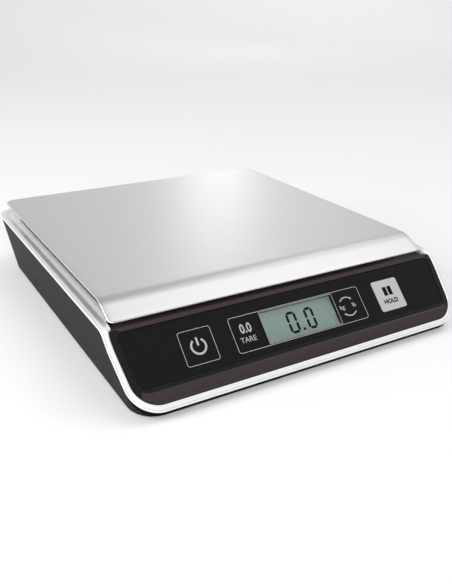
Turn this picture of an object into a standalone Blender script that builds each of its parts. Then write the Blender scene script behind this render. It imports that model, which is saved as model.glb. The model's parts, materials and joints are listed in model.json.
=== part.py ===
"""Digital letter scale: a steel weighing platform on a single-point load cell, in a two-part
plastic casing with a sloping control panel. Metres, +Z up, origin under the middle of the
casing on the surface that the feet stand on. -Y is the front, where the panel is."""

import math

import bmesh
import bpy
from mathutils import Matrix, Vector

MM = 0.001
FIT = 0.3 * MM  # gap between pieces that touch or seat on each other

# Casing: outer form
CASE_WIDTH = 214.5 * MM
CASE_DEPTH = 243.5 * MM
HEIGHT = 45 * MM
DECK_DROP = 7.7 * MM  # silver deck, inside the rim, below the platform's top
RIM_RISE = 0.8 * MM  # rim crest above the deck
PART_DROP = 1.7 * MM  # joint between the casings, below the deck
FLOOR_Z = 2.0 * MM  # underside of the lower casing
WALL = 2.2 * MM
RIM_WIDTH = 2.9 * MM
SIDE_DRAFT = math.radians(8)
BACK_DRAFT = math.radians(16)
FRONT_DRAFT = math.radians(27)
BACK_CORNER = 16 * MM
FRONT_CORNER = 13 * MM

# Control panel: the plane that slopes down to the front
PANEL_ANGLE = math.radians(45)
PANEL_LENGTH = 41.9 * MM  # from the crease with the deck down to the rim
PANEL_BEND = 8 * MM
SIDE_BAND = 4.5 * MM  # depth of the silver side band under the panel plane
FRONT_PART_Z = 3.2 * MM
BEZEL_THICK = 2.5 * MM
SHELF_DROP = 1.9 * MM  # black shelf under the platform's lip, below the deck
SHELF_BEND = 2 * MM

# Weighing platform
PLATE_SIDE_GAP = 5.65 * MM  # plate edge to the casing's outer side
PLATE_BACK_GAP = 4.9 * MM
PLATE_THICK = 1.2 * MM
PLATE_BEND_SETBACK = 18.95 * MM  # start of the lip's bend, behind the crease
PLATE_CORNER = 6 * MM
LIP_BEND = 9 * MM
LIP_ANGLE = math.radians(27)
LIP_STRAIGHT = 11.5 * MM
LIP_TIP_BEND = 6 * MM
LIP_TIP_ANGLE = math.radians(45)
TRAVEL = 0.5 * MM  # platform travel at full load

# Opening in the silver deck and the carrier over it
OPENING_SIDE_GAP = 3.4 * MM  # opening's side edge in from the plate's
OPENING_BACK_GAP = 27.9 * MM
OPENING_FRONT_GAP = 13.5 * MM  # opening's front edge behind the crease
OPENING_CORNER = 9 * MM
DECK_END_SETBACK = 6.6 * MM  # end of the deck's side arms behind the crease, clear of the lip
CARRIER_GAP = 1.7 * MM
CARRIER_THICK = 2.5 * MM
CUSHION_RADIUS = 6 * MM
CUSHION_THICK = 1.2 * MM
CUSHION_INSET = 14 * MM
RIB_DEPTH = 5 * MM
RIB_WIDTH = 3 * MM
RIB_X = 51 * MM

# Load cell
BEAM_LENGTH = 80 * MM
BEAM_SIDE = 12.7 * MM
BEAM_Z = 14 * MM
BEAM_BORE = 4.5 * MM
BEAM_BORE_SPACING = 16 * MM
BEAM_HOLES = (20 * MM, 35 * MM)
BEAM_SCREW_RADIUS = 2 * MM
BEAM_SCREW_GRIP = 7 * MM
BEAM_SCREW_HEAD = 2.6 * MM
FIXED_HEAD_SINK = 0.6 * MM  # fixed screws' heads in from the underside
BLOCK_MARGIN = (7 * MM, 5 * MM)  # mounting block beyond the inner and the outer hole

# Overload stops, feet, casing screws
STOP_RADIUS = 4 * MM
STOP_CLEAR = 0.1 * MM  # left under the carrier at full travel
STOP_INSET = 16.2 * MM  # from the opening's side edge
STOP_Y = 60 * MM
FOOT_RADIUS = 6.5 * MM
FOOT_SEAT = 1.3 * MM
FOOT_SIDE_INSET = 23.25 * MM
FOOT_FRONT_INSET = 20.75 * MM
FOOT_BACK_INSET = 37.75 * MM
CASE_SCREW_RADIUS = 1.5 * MM
CASE_SCREW_HEAD = 2.2 * MM
CASE_SCREW_REACH = 7 * MM  # thread beyond the lower boss
CASE_BOSS_RADIUS = 4.4 * MM
CASE_BOSS_WEB = 4 * MM  # boss end left under the screw's shank
BACK_SCREW_SIDE_INSET = 23.25 * MM
BACK_SCREW_BACK_INSET = 20.75 * MM
BACK_BOSS_Z = 20 * MM
FRONT_SCREW_SIDE_INSET = 15.25 * MM
FRONT_SCREW_SETBACK = 6.5 * MM  # behind the crease
FRONT_BOSS_Z = 13 * MM
BOSS_STEP = 0.4 * MM  # upper boss smaller than the lower one

# Keys and display, along the panel from the crease
KEY_ROW = 19.5 * MM  # distance from the crease to the keys' centre line
KEY_SIZE = 18.6 * MM
KEY_THICK = 2.0 * MM
KEY_X = 62.35 * MM
KEY_GAP = 0.3 * MM
KEY_CORNER = 1.2 * MM
RETAINER_WIDTH = 7 * MM  # lug behind the bezel that keeps a key in its well
RETAINER_REACH = 1.2 * MM
RETAINER_THICK = 0.6 * MM
DISPLAY_HALF = 41.95 * MM
WINDOW_HALF = 23.7 * MM
WINDOW_HEIGHT = 17.4 * MM
WINDOW_WEB = 0.6 * MM
OVERLAY_TOP = 3.4 * MM
OVERLAY_BOTTOM = 32.7 * MM
OVERLAY_THICK = 0.8 * MM
OVERLAY_SINK = 0.2 * MM
OVERLAY_EDGE = 3.0 * MM  # width of the black bezel beside the overlay
OVERLAY_CORNER = 3.5 * MM
LCD_THICK = 2.0 * MM
LCD_MARGIN = 2.4 * MM
FRAME_WALL = (2.5 * MM, 2.0 * MM)  # display frame's walls at its sides, and above and below
STRIP_WIDTH = 2 * MM
BOARD_DEPTH = 8.0 * MM  # face of the main board under the panel plane
BOARD_THICK = 1.6 * MM
BOARD_TOP = 5 * MM
BOARD_BOTTOM = 31 * MM
BOARD_SIDE_GAP = 25.25 * MM  # board's end in from the casing's outer side
BOARD_SCREW_INSET = 4 * MM
BOARD_SCREW_RADIUS = 1.0 * MM
BOARD_SCREW_HEAD = 1.6 * MM
BOARD_SCREW_REACH = 3 * MM
BOARD_POST_RADIUS = 2.6 * MM
CHIP_X = -52 * MM
CHIP_SIDE = 12 * MM
CHIP_THICK = 1.6 * MM
SWITCH_SIDE = 6 * MM
SWITCH_HEIGHT = 3.1 * MM
PLUNGER_RADIUS = 1.7 * MM
PLUNGER_STICKS_OUT = 0.7 * MM
PLUNGER_INSIDE = 1.4 * MM
PLUNGER_ROOM = 0.7 * MM  # left under a plunger at rest

# Battery bay for three cells, long side along X
BATTERY_RADIUS = 5.25 * MM
BATTERY_LENGTH = 44.5 * MM
BATTERY_NUB = 1.0 * MM
BATTERY_NUB_RADIUS = 1.9 * MM
BATTERY_CLEAR = 0.8 * MM  # cells above the closed door
BAY_X = 10 * MM
BAY_SETBACK = 26.5 * MM  # bay's front side behind the crease
BAY_LENGTH = 54 * MM
BAY_WIDTH = 35 * MM
BAY_ROOF_Z = 16 * MM
BAY_WALL = 4.2 * MM
BAY_ROOF = 1.8 * MM
DOOR_MARGIN = 2 * MM  # door beyond the bay on every side
DOOR_GAP = 0.4 * MM
DOOR_THICK = 1.9 * MM
DOOR_SINK = 0.1 * MM  # door's face in from the underside
DOOR_GROOVE = (5 * MM, 14 * MM, 0.8 * MM)  # finger groove along X and Y, and its depth
DOOR_GROOVE_INSET = 4 * MM
CONTACT_THICK = 0.4 * MM
CONTACT_HALF = 4.2 * MM
SPRING_RADIUS = 2.9 * MM
SPRING_WIRE = 0.35 * MM

# USB socket in the rear wall
USB_X = -58 * MM
USB_Z = 14 * MM
USB_WIDTH = 7.7 * MM
USB_HEIGHT = 3.9 * MM
USB_DEPTH = 9.2 * MM
USB_SHELL = 0.4 * MM
USB_CLEAR = 1.5 * MM
USB_BOARD_WIDTH = 22 * MM
USB_BOARD_DEPTH = 17.5 * MM
USB_BOARD_SETBACK = 2.5 * MM
RAIL_GRIP = 1.6 * MM

# Leads: radius over the insulation
CELL_CABLE = 1.4 * MM
BATTERY_LEAD = 0.7 * MM
USB_LEAD = 1.2 * MM

# Reach of a cutter beyond what it cuts, and bite of a piece into what it joins
CLEAR = 5 * MM
BITE = 1 * MM
PANEL_CUT = 20 * MM

# Worked out from the sizes above
SIDE_X = CASE_WIDTH / 2
BACK_Y = CASE_DEPTH / 2
FRONT_Y = -CASE_DEPTH / 2
DECK_Z = HEIGHT - DECK_DROP
CREST_Z = DECK_Z + RIM_RISE  # the casing is widest at the rim
PART_Z = DECK_Z - PART_DROP
SHELF_Z = DECK_Z - SHELF_DROP
SLOPE = Vector((0, -math.cos(PANEL_ANGLE), -math.sin(PANEL_ANGLE)))
NORMAL = Vector((0, -math.sin(PANEL_ANGLE), math.cos(PANEL_ANGLE)))
CREST_ALONG = PANEL_LENGTH + RIM_WIDTH
CREASE = Vector((0, FRONT_Y - SLOPE.y * CREST_ALONG - NORMAL.y * RIM_RISE, DECK_Z))
CREST_FRONT_Z = (CREASE + SLOPE * CREST_ALONG + NORMAL * RIM_RISE).z
INNER_FLOOR_Z = FLOOR_Z + WALL

PLATE_WIDTH = CASE_WIDTH - 2 * PLATE_SIDE_GAP
PLATE_BACK_Y = BACK_Y - PLATE_BACK_GAP
PLATE_BEND_Y = CREASE.y + PLATE_BEND_SETBACK
LIP_FORWARD = (
    LIP_BEND * math.sin(LIP_ANGLE)
    + LIP_STRAIGHT * math.cos(LIP_ANGLE)
    + LIP_TIP_BEND * (math.sin(LIP_TIP_ANGLE) - math.sin(LIP_ANGLE))
)
PLATE_MIDDLE_Y = (PLATE_BACK_Y + PLATE_BEND_Y - LIP_FORWARD) / 2
OPENING_HALF = PLATE_WIDTH / 2 - OPENING_SIDE_GAP
OPENING_FRONT_Y = CREASE.y + OPENING_FRONT_GAP
OPENING_BACK_Y = PLATE_BACK_Y - OPENING_BACK_GAP
DECK_END_Y = CREASE.y + DECK_END_SETBACK
CUSHION_TOP_Z = HEIGHT - PLATE_THICK - FIT
CARRIER_TOP_Z = CUSHION_TOP_Z - CUSHION_THICK - FIT
CARRIER_Z = CARRIER_TOP_Z - CARRIER_THICK
STOP_X = OPENING_HALF - STOP_INSET
BEAM_TOP_Z = BEAM_Z + BEAM_SIDE
FIXED_HEAD_Z = FLOOR_Z + FIXED_HEAD_SINK

DISPLAY_KEY_INNER = WINDOW_HALF + WINDOW_WEB + KEY_GAP
DISPLAY_KEY_WIDTH = DISPLAY_HALF - KEY_GAP - DISPLAY_KEY_INNER
DISPLAY_KEY_X = DISPLAY_KEY_INNER + DISPLAY_KEY_WIDTH / 2
KEYS = {
    "power": (-KEY_X, KEY_SIZE),
    "tare": (-DISPLAY_KEY_X, DISPLAY_KEY_WIDTH),
    "units": (DISPLAY_KEY_X, DISPLAY_KEY_WIDTH),
    "hold": (KEY_X, KEY_SIZE),
}
BOARD_HALF = SIDE_X - BOARD_SIDE_GAP
BOARD_MIDDLE = (BOARD_TOP + BOARD_BOTTOM) / 2
BOARD_BACK = BOARD_DEPTH + BOARD_THICK
SWITCH_FACE = BOARD_DEPTH - FIT - SWITCH_HEIGHT

BAY_MIN = Vector((BAY_X, CREASE.y + BAY_SETBACK))
BAY_MAX = BAY_MIN + Vector((BAY_LENGTH, BAY_WIDTH))
BATTERY_Z = FLOOR_Z + DOOR_THICK + BATTERY_RADIUS + BATTERY_CLEAR
BATTERY_PITCH = BAY_WIDTH / 3

BACK_SCREW = (SIDE_X - BACK_SCREW_SIDE_INSET, BACK_Y - BACK_SCREW_BACK_INSET, BACK_BOSS_Z)
FRONT_SCREW = (SIDE_X - FRONT_SCREW_SIDE_INSET, CREASE.y + FRONT_SCREW_SETBACK, FRONT_BOSS_Z)
FOOT_X = SIDE_X - FOOT_SIDE_INSET
FOOT_ROWS = (FRONT_Y + FOOT_FRONT_INSET, BACK_Y - FOOT_BACK_INSET)

COLOURS = {
    "steel": ((0.72, 0.72, 0.71), 0.32, 1.0),
    "silver_plastic": ((0.62, 0.63, 0.61), 0.42, 0.6),
    "black_plastic": ((0.025, 0.022, 0.024), 0.5, 0.0),
    "gloss_black": ((0.01, 0.01, 0.01), 0.12, 0.0),
    "key_silver": ((0.6, 0.6, 0.6), 0.4, 0.4),
    "clear_lens": ((0.8, 0.85, 0.83), 0.05, 0.0),
    "lcd": ((0.32, 0.42, 0.37), 0.3, 0.0),
    "aluminium": ((0.78, 0.78, 0.78), 0.35, 1.0),
    "zinc": ((0.6, 0.6, 0.58), 0.35, 1.0),
    "rubber": ((0.03, 0.03, 0.03), 0.85, 0.0),
    "silicone": ((0.75, 0.75, 0.72), 0.6, 0.0),
    "board_green": ((0.03, 0.22, 0.1), 0.4, 0.0),
    "cell_jacket": ((0.12, 0.2, 0.32), 0.3, 0.3),
    "wire_red": ((0.5, 0.03, 0.03), 0.5, 0.0),
    "wire_black": ((0.02, 0.02, 0.02), 0.5, 0.0),
    "wire_grey": ((0.35, 0.35, 0.36), 0.5, 0.0),
}


# ---------------------------------------------------------------- scene and helpers


def clear_scene():
    for obj in list(bpy.data.objects):
        bpy.data.objects.remove(obj, do_unlink=True)


def make_collection(name):
    collection = bpy.data.collections.new(name)
    bpy.context.scene.collection.children.link(collection)
    return collection


def material(name):
    found = bpy.data.materials.get(name)
    if found:
        return found
    colour, roughness, metallic = COLOURS[name]
    made = bpy.data.materials.new(name)
    made.use_nodes = True
    shader = made.node_tree.nodes["Principled BSDF"]
    shader.inputs["Base Color"].default_value = (*colour, 1)
    shader.inputs["Roughness"].default_value = roughness
    shader.inputs["Metallic"].default_value = metallic
    return made


def place(obj, finish=None, parent=None):
    """Links a piece into the scale, or a cutter (no finish) among the cutters."""
    (SCALE if finish else CUTTERS).objects.link(obj)
    if finish:
        obj.data.materials.append(material(finish))
    else:
        obj.hide_render = True
        obj.display_type = "WIRE"
    obj.parent = parent
    return obj


def from_bmesh(name, bm, finish=None, parent=None):
    mesh = bpy.data.meshes.new(name)
    bmesh.ops.recalc_face_normals(bm, faces=bm.faces)
    bm.to_mesh(mesh)
    bm.free()
    return place(bpy.data.objects.new(name, mesh), finish, parent)


def box(name, low, high, finish=None, parent=None, corner=0.0, segments=4):
    """A box between two corners, with its edges along Z rounded by corner."""
    low, high = Vector(low), Vector(high)
    bm = bmesh.new()
    bmesh.ops.create_cube(bm, size=1)
    bmesh.ops.scale(bm, vec=high - low, verts=bm.verts)
    if corner:
        round_upright_edges(bm, {None: corner}, segments)
    obj = from_bmesh(name, bm, finish, parent)
    obj.location = (low + high) / 2
    return obj


def round_upright_edges(bm, radii, segments):
    """Rounds the edges that aren't level. radii maps a side in Y (-1, 1 or None) to a radius."""
    for side, radius in radii.items():
        edges = []
        for edge in bm.edges:
            a, b = (v.co for v in edge.verts)
            upright = abs(a.z - b.z) > 0.5 * (a - b).length
            if upright and (side is None or a.y * side > 0) and len(edge.link_faces) == 2:
                if edge.calc_face_angle() > math.radians(60):
                    edges.append(edge)
        bmesh.ops.bevel(
            bm, geom=edges, offset=radius, segments=segments, profile=0.5, affect="EDGES"
        )


def cylinder(name, radius, low, high, finish=None, parent=None, sides=24, xy=(0, 0), axis="Z"):
    """A cylinder along an axis. xy is its place on the two other axes, in X, Y, Z order."""
    bm = bmesh.new()
    bmesh.ops.create_cone(
        bm, cap_ends=True, segments=sides, radius1=radius, radius2=radius, depth=high - low
    )
    obj = from_bmesh(name, bm, finish, parent)
    middle = (low + high) / 2
    if axis == "Z":
        obj.location = (xy[0], xy[1], middle)
    elif axis == "X":
        obj.location = (middle, xy[0], xy[1])
        obj.rotation_euler = (0, math.pi / 2, 0)
    else:
        obj.location = (xy[0], middle, xy[1])
        obj.rotation_euler = (math.pi / 2, 0, 0)
    return obj


def as_mesh(curve_obj, finish, parent=None):
    """Turns a curve object into a mesh object with its caps welded."""
    bpy.context.view_layer.update()
    graph = bpy.context.evaluated_depsgraph_get()
    mesh = bpy.data.meshes.new_from_object(curve_obj.evaluated_get(graph))
    bm = bmesh.new()
    bm.from_mesh(mesh)
    bmesh.ops.remove_doubles(bm, verts=bm.verts, dist=1e-6)
    bmesh.ops.recalc_face_normals(bm, faces=bm.faces)
    bm.to_mesh(mesh)
    bm.free()
    name, matrix = curve_obj.name, curve_obj.matrix_world.copy()
    bpy.data.objects.remove(curve_obj)
    obj = bpy.data.objects.new(name, mesh)
    obj.matrix_world = matrix
    return place(obj, finish, parent)


def outline_solid(name, points, thickness, matrix, finish=None):
    """A flat outline, given by its corners in its own XY plane, made a solid of a thickness."""
    curve = bpy.data.curves.new(name, "CURVE")
    curve.dimensions = "2D"
    curve.fill_mode = "BOTH"
    curve.extrude = thickness / 2
    spline = curve.splines.new("POLY")
    spline.points.add(len(points) - 1)
    for point, (x, y) in zip(spline.points, points):
        point.co = (x, y, 0, 1)
    spline.use_cyclic_u = True
    obj = bpy.data.objects.new(name, curve)
    bpy.context.scene.collection.objects.link(obj)
    obj.matrix_world = matrix
    return as_mesh(obj, finish)


def side_prism(name, profile, width, finish=None):
    """A solid whose section in the YZ plane is profile, centred on X = 0."""
    across = Matrix(((0, 0, 1, 0), (1, 0, 0, 0), (0, 1, 0, 0), (0, 0, 0, 1)))
    return outline_solid(name, profile, width, across, finish)


def boolean(obj, cutter, operation="DIFFERENCE"):
    modifier = obj.modifiers.new(operation.title(), "BOOLEAN")
    modifier.operation = operation
    modifier.object = cutter
    modifier.solver = "EXACT"


def rounded_corners(corners, radii, segments=6):
    """The outline through corners with each one rounded by its radius."""
    outline = []
    for i, corner in enumerate(corners):
        here = Vector(corner)
        before, after = Vector(corners[i - 1]), Vector(corners[(i + 1) % len(corners)])
        radius = radii[i]
        if not radius:
            outline.append(tuple(here))
            continue
        to_before, to_after = (before - here).normalized(), (after - here).normalized()
        half = to_before.angle(to_after) / 2
        centre = here + (to_before + to_after).normalized() * radius / math.sin(half)
        start = here + to_before * radius / math.tan(half) - centre
        end = here + to_after * radius / math.tan(half) - centre
        for step in range(segments + 1):
            spoke = start.slerp(end, step / segments) if segments else start
            outline.append(tuple(centre + spoke.normalized() * radius))
    return outline


def wire(name, points, radius, finish, parent=None, per_span=4):
    """A round wire on a smooth curve through points, with filled ends."""
    curve = bpy.data.curves.new(name, "CURVE")
    curve.dimensions = "3D"
    curve.bevel_depth = radius
    curve.bevel_resolution = 2
    curve.use_fill_caps = True
    smooth = smooth_through([Vector(p) for p in points], per_span)
    spline = curve.splines.new("POLY")
    spline.points.add(len(smooth) - 1)
    for point, place_at in zip(spline.points, smooth):
        point.co = (*place_at, 1)
    return place(bpy.data.objects.new(name, curve), finish, parent)


def smooth_through(points, per_span):
    """Points on a Catmull-Rom curve through the given ones."""
    if per_span == 1:
        return points
    ends = [points[0] * 2 - points[1], *points, points[-1] * 2 - points[-2]]
    smooth = []
    for i in range(1, len(ends) - 2):
        a, b, c, d = ends[i - 1 : i + 3]
        for step in range(per_span):
            t = step / per_span
            square = 2 * a - 5 * b + 4 * c - d
            cube = 3 * b - a - 3 * c + d
            smooth.append(b + ((c - a) * t + square * t**2 + cube * t**3) / 2)
    return [*smooth, points[-1]]


# ---------------------------------------------------------------- shared outlines


def envelope(name, inset=0.0, low=FLOOR_Z, high=CREST_Z + CLEAR):
    """The casing's drafted outer form between two heights, drawn in by inset."""
    bm = bmesh.new()
    bmesh.ops.create_cube(bm, size=2)
    for vert in bm.verts:
        z = high if vert.co.z > 0 else low
        half = SIDE_X - (CREST_Z - z) * math.tan(SIDE_DRAFT) - inset
        back = BACK_Y - (CREST_Z - z) * math.tan(BACK_DRAFT) - inset
        front = FRONT_Y - (z - CREST_FRONT_Z) * math.tan(FRONT_DRAFT) + inset
        vert.co = (half * vert.co.x, back if vert.co.y > 0 else front, z)
    radii = {1: BACK_CORNER - inset, -1: FRONT_CORNER - inset}
    round_upright_edges(bm, radii, 6)
    return from_bmesh(name, bm)


def top_profile(depth, bend):
    """Corners and radii, in (y, z), of the deck and panel lines at a depth under them."""
    crease = Vector((CREASE.y + depth * math.tan(PANEL_ANGLE / 2), CREASE.z - depth))
    far = Vector((BACK_Y + 4 * CLEAR, crease.y))
    end = crease + Vector((SLOPE.y, SLOPE.z)) * (PANEL_LENGTH + 6 * CLEAR)
    return [far, crease, end], [0, bend, 0]


def above_profile(name, depth, bend):
    """The space above an offset of the casing's top profile, as a solid."""
    return beyond_profile(name, depth, bend, 2 * HEIGHT)


def below_profile(name, depth, bend):
    """The space below an offset of the casing's top profile, as a solid."""
    return beyond_profile(name, depth, bend, -60 * MM)


def beyond_profile(name, depth, bend, edge):
    corners, radii = top_profile(depth, bend)
    corners += [Vector((corners[-1].x, edge)), Vector((corners[0].x, edge))]
    return side_prism(name, rounded_corners(corners, [*radii, 0, 0]), 2 * CASE_WIDTH)


def parting_cutter(name, gap, keep_below):
    """The space above or below the joint between the casings, lowered by gap.

    The joint is level at the back, runs down beside the panel and is level at the front.
    """
    back_z, front_z = PART_Z - gap, FRONT_PART_Z - gap
    under_panel = (SIDE_BAND + gap) / math.sin(PANEL_ANGLE)
    bend_y = CREASE.y + under_panel - (DECK_Z - back_z) / math.tan(PANEL_ANGLE)
    foot_y = bend_y - (back_z - front_z) / math.tan(PANEL_ANGLE)
    far, near = BACK_Y + 4 * CLEAR, FRONT_Y - 4 * CLEAR
    edge = 2 * HEIGHT if keep_below else -60 * MM
    corners = [(far, back_z), (bend_y, back_z), (foot_y, front_z), (near, front_z)]
    corners += [(near, edge), (far, edge)]
    outline = rounded_corners(corners, [0, PANEL_BEND, 0, 0, 0, 0])
    return side_prism(name, outline, 2 * CASE_WIDTH)


def panel_half_width(along, inset):
    """Half the width between the drafted side walls, at a distance down the panel."""
    z = DECK_Z + SLOPE.z * along
    return SIDE_X - (CREST_Z - z) * math.tan(SIDE_DRAFT) - inset


def panel_box(name, x, along, depth, size, finish=None, parent=None, corner=0.0, segments=4):
    """A box on the panel: x and along are its centre, depth its face under the panel plane."""
    width, height, thick = size
    low = (x - width / 2, -along - height / 2, -depth - thick)
    high = (x + width / 2, -along + height / 2, -depth)
    return box(name, low, high, finish, parent or PANEL, corner, segments)


def panel_cylinder(name, x, along, depth, radius, thick, finish=None, parent=None, sides=20):
    """A cylinder square to the panel, with its face at depth under the panel plane."""
    return cylinder(
        name, radius, -depth - thick, -depth, finish, parent or PANEL, sides, (x, -along)
    )


# ---------------------------------------------------------------- weighing platform


def lip_line(offset):
    """The platform's section in (y, z), from the back edge to the lip's tip."""
    y, z = PLATE_BEND_Y, HEIGHT
    line = [(PLATE_BACK_Y, HEIGHT - offset), (y, HEIGHT - offset)]
    steps = 5
    for bend, start, end in (
        (LIP_BEND, 0.0, LIP_ANGLE),
        (LIP_TIP_BEND, LIP_ANGLE, LIP_TIP_ANGLE),
    ):
        if start:
            y -= LIP_STRAIGHT * math.cos(LIP_ANGLE)
            z -= LIP_STRAIGHT * math.sin(LIP_ANGLE)
            line.append((y + offset * math.sin(start), z - offset * math.cos(start)))
        for step in range(1, steps + 1):
            angle = start + (end - start) * step / steps
            ahead = y - bend * (math.sin(angle) - math.sin(start))
            down = z + bend * (math.cos(angle) - math.cos(start))
            line.append((ahead + offset * math.sin(angle), down - offset * math.cos(angle)))
        y -= bend * (math.sin(end) - math.sin(start))
        z += bend * (math.cos(end) - math.cos(start))
    return line


def platform_plate():
    """Steel sheet with its front edge bent down into a lip."""
    section = lip_line(0) + lip_line(PLATE_THICK)[::-1]
    plate = side_prism("platform_plate", section, PLATE_WIDTH, "steel")
    trim = box(
        "plate_outline",
        (-PLATE_WIDTH / 2, PLATE_BEND_Y - LIP_FORWARD - BITE, FLOOR_Z),
        (PLATE_WIDTH / 2, PLATE_BACK_Y, HEIGHT + CLEAR),
        corner=PLATE_CORNER,
        segments=5,
    )
    boolean(plate, trim, "INTERSECT")


def platform_carrier():
    """Plastic tray under the platform, with ribs and the block that the load cell lifts."""
    half = OPENING_HALF - CARRIER_GAP
    carrier = box(
        "platform_carrier",
        (-half, OPENING_FRONT_Y + CARRIER_GAP, CARRIER_Z),
        (half, OPENING_BACK_Y - CARRIER_GAP, CARRIER_TOP_Z),
        "black_plastic",
        corner=OPENING_CORNER - CARRIER_GAP,
    )
    ribs = [((0, PLATE_MIDDLE_Y), (STOP_X, RIB_WIDTH / 2))]
    ribs += [((x, PLATE_MIDDLE_Y), (RIB_WIDTH / 2, STOP_Y)) for x in (-RIB_X, RIB_X)]
    for (x, y), (half_x, half_y) in ribs:
        rib = box(
            "carrier_rib",
            (x - half_x, y - half_y, CARRIER_Z - RIB_DEPTH),
            (x + half_x, y + half_y, CARRIER_Z + BITE),
        )
        boolean(carrier, rib, "UNION")
    block = box(
        "live_block",
        (BEAM_HOLES[0] - BLOCK_MARGIN[0], PLATE_MIDDLE_Y - BEAM_SIDE / 2, BEAM_TOP_Z + FIT),
        (BEAM_HOLES[1] + BLOCK_MARGIN[1], PLATE_MIDDLE_Y + BEAM_SIDE / 2, CARRIER_Z + BITE),
    )
    boolean(carrier, block, "UNION")
    for x in BEAM_HOLES:
        top = CARRIER_TOP_Z + CLEAR
        seat = CARRIER_TOP_Z - BEAM_SCREW_HEAD - 2 * FIT
        for radius, low in (
            (BEAM_SCREW_RADIUS + FIT, BEAM_TOP_Z - CLEAR),
            (2 * BEAM_SCREW_RADIUS + FIT, seat),
        ):
            way = cylinder("live_screw_way", radius, low, top, sides=16, xy=(x, PLATE_MIDDLE_Y))
            boolean(carrier, way)


def cushions():
    """Silicone pads that the steel platform sits on."""
    x = OPENING_HALF - CUSHION_INSET
    rows = (OPENING_FRONT_Y + CUSHION_INSET, OPENING_BACK_Y - CUSHION_INSET)
    places = [(sx * x, y) for sx in (-1, 1) for y in rows]
    for number, xy in enumerate(places, 1):
        name = f"platform_cushion_{number}"
        low = CARRIER_TOP_Z + FIT
        cylinder(name, CUSHION_RADIUS, low, CUSHION_TOP_Z, "silicone", xy=xy, sides=20)


# ---------------------------------------------------------------- load cell


def screw(name, radius, head_high, head_low, tip, xy, parent=None):
    """A pan-head screw along Z: head between two heights, shank from the head to tip."""
    head = cylinder(name, 2 * radius, head_low, head_high, "zinc", parent, 16, xy)
    inside = (head_low + head_high) / 2
    low, high = min(inside, tip), max(inside, tip)
    shank = cylinder("screw_shank", radius, low, high, None, parent, 12, xy)
    boolean(head, shank, "UNION")


def load_cell():
    """Aluminium bending beam: two joined bores make the thin flexures that are gauged."""
    cell = box(
        "load_cell",
        (-BEAM_LENGTH / 2, PLATE_MIDDLE_Y - BEAM_SIDE / 2, BEAM_Z),
        (BEAM_LENGTH / 2, PLATE_MIDDLE_Y + BEAM_SIDE / 2, BEAM_TOP_Z),
        "aluminium",
    )
    middle_z = (BEAM_Z + BEAM_TOP_Z) / 2
    near, far = PLATE_MIDDLE_Y - BEAM_SIDE, PLATE_MIDDLE_Y + BEAM_SIDE
    for x in (-BEAM_BORE_SPACING / 2, BEAM_BORE_SPACING / 2):
        at = (x, middle_z)
        bore = cylinder("flexure_bore", BEAM_BORE, near, far, sides=20, xy=at, axis="Y")
        boolean(cell, bore)
    slot = box(
        "flexure_slot",
        (-BEAM_BORE_SPACING / 2, near, middle_z - BEAM_BORE / 2),
        (BEAM_BORE_SPACING / 2, far, middle_z + BEAM_BORE / 2),
    )
    boolean(cell, slot)
    for x in (*BEAM_HOLES, *(-x for x in BEAM_HOLES)):
        at = (x, PLATE_MIDDLE_Y)
        low, high = BEAM_Z - CLEAR, BEAM_TOP_Z + CLEAR
        hole = cylinder("cell_hole", BEAM_SCREW_RADIUS + FIT, low, high, sides=16, xy=at)
        boolean(cell, hole)


def load_cell_screws():
    """Screws that fix one end of the load cell to the tray and the other to the carrier."""
    live_head = CARRIER_TOP_Z - FIT
    for number, x in enumerate(BEAM_HOLES, 1):
        screw(
            f"load_cell_live_screw_{number}",
            BEAM_SCREW_RADIUS,
            live_head,
            live_head - BEAM_SCREW_HEAD,
            BEAM_TOP_Z - BEAM_SCREW_GRIP,
            (x, PLATE_MIDDLE_Y),
        )
        screw(
            f"load_cell_fixed_screw_{number}",
            BEAM_SCREW_RADIUS,
            FIXED_HEAD_Z + BEAM_SCREW_HEAD,
            FIXED_HEAD_Z,
            BEAM_Z + BEAM_SCREW_GRIP,
            (-x, PLATE_MIDDLE_Y),
        )


# ---------------------------------------------------------------- casing


def casing_shell(name, finish):
    """The full outer form as a piece that is then cut to its own shape."""
    shell = envelope(name)
    CUTTERS.objects.unlink(shell)
    shell.hide_render = False
    shell.display_type = "TEXTURED"
    return place(shell, finish)


def upper_casing():
    """Silver ring: rim, deck round the opening, and the band that runs round the panel."""
    ring = casing_shell("upper_casing", "silver_plastic")
    boolean(ring, parting_cutter("below_joint", 0, keep_below=False))
    boolean(ring, above_profile("above_crest", -RIM_RISE, PANEL_BEND + RIM_RISE))
    inside = envelope("inside_rim", RIM_WIDTH, low=-CLEAR, high=2 * HEIGHT)
    deck = below_profile("below_deck", 0, PANEL_BEND)
    ahead = box(
        "ahead_of_deck",
        (-CASE_WIDTH, -CASE_DEPTH, -2 * CLEAR),
        (CASE_WIDTH, DECK_END_Y, 3 * HEIGHT),
    )
    boolean(deck, ahead)
    boolean(inside, deck)
    boolean(ring, inside)
    opening = box(
        "deck_opening",
        (-OPENING_HALF, DECK_END_Y - 2 * OPENING_CORNER, 0),
        (OPENING_HALF, OPENING_BACK_Y, 2 * HEIGHT),
        corner=OPENING_CORNER,
    )
    boolean(ring, opening)
    x, y, boss_z = BACK_SCREW
    for at in ((-x, y), (x, y)):
        radius = CASE_BOSS_RADIUS - BOSS_STEP
        boss = cylinder("upper_boss", radius, boss_z + FIT, PART_Z + BITE, xy=at, sides=16)
        boolean(ring, boss, "UNION")
        high = boss_z + CASE_SCREW_REACH + BITE
        radius = CASE_SCREW_RADIUS + FIT
        pilot = cylinder("pilot_hole", radius, boss_z - CLEAR, high, xy=at, sides=12)
        boolean(ring, pilot)


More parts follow.
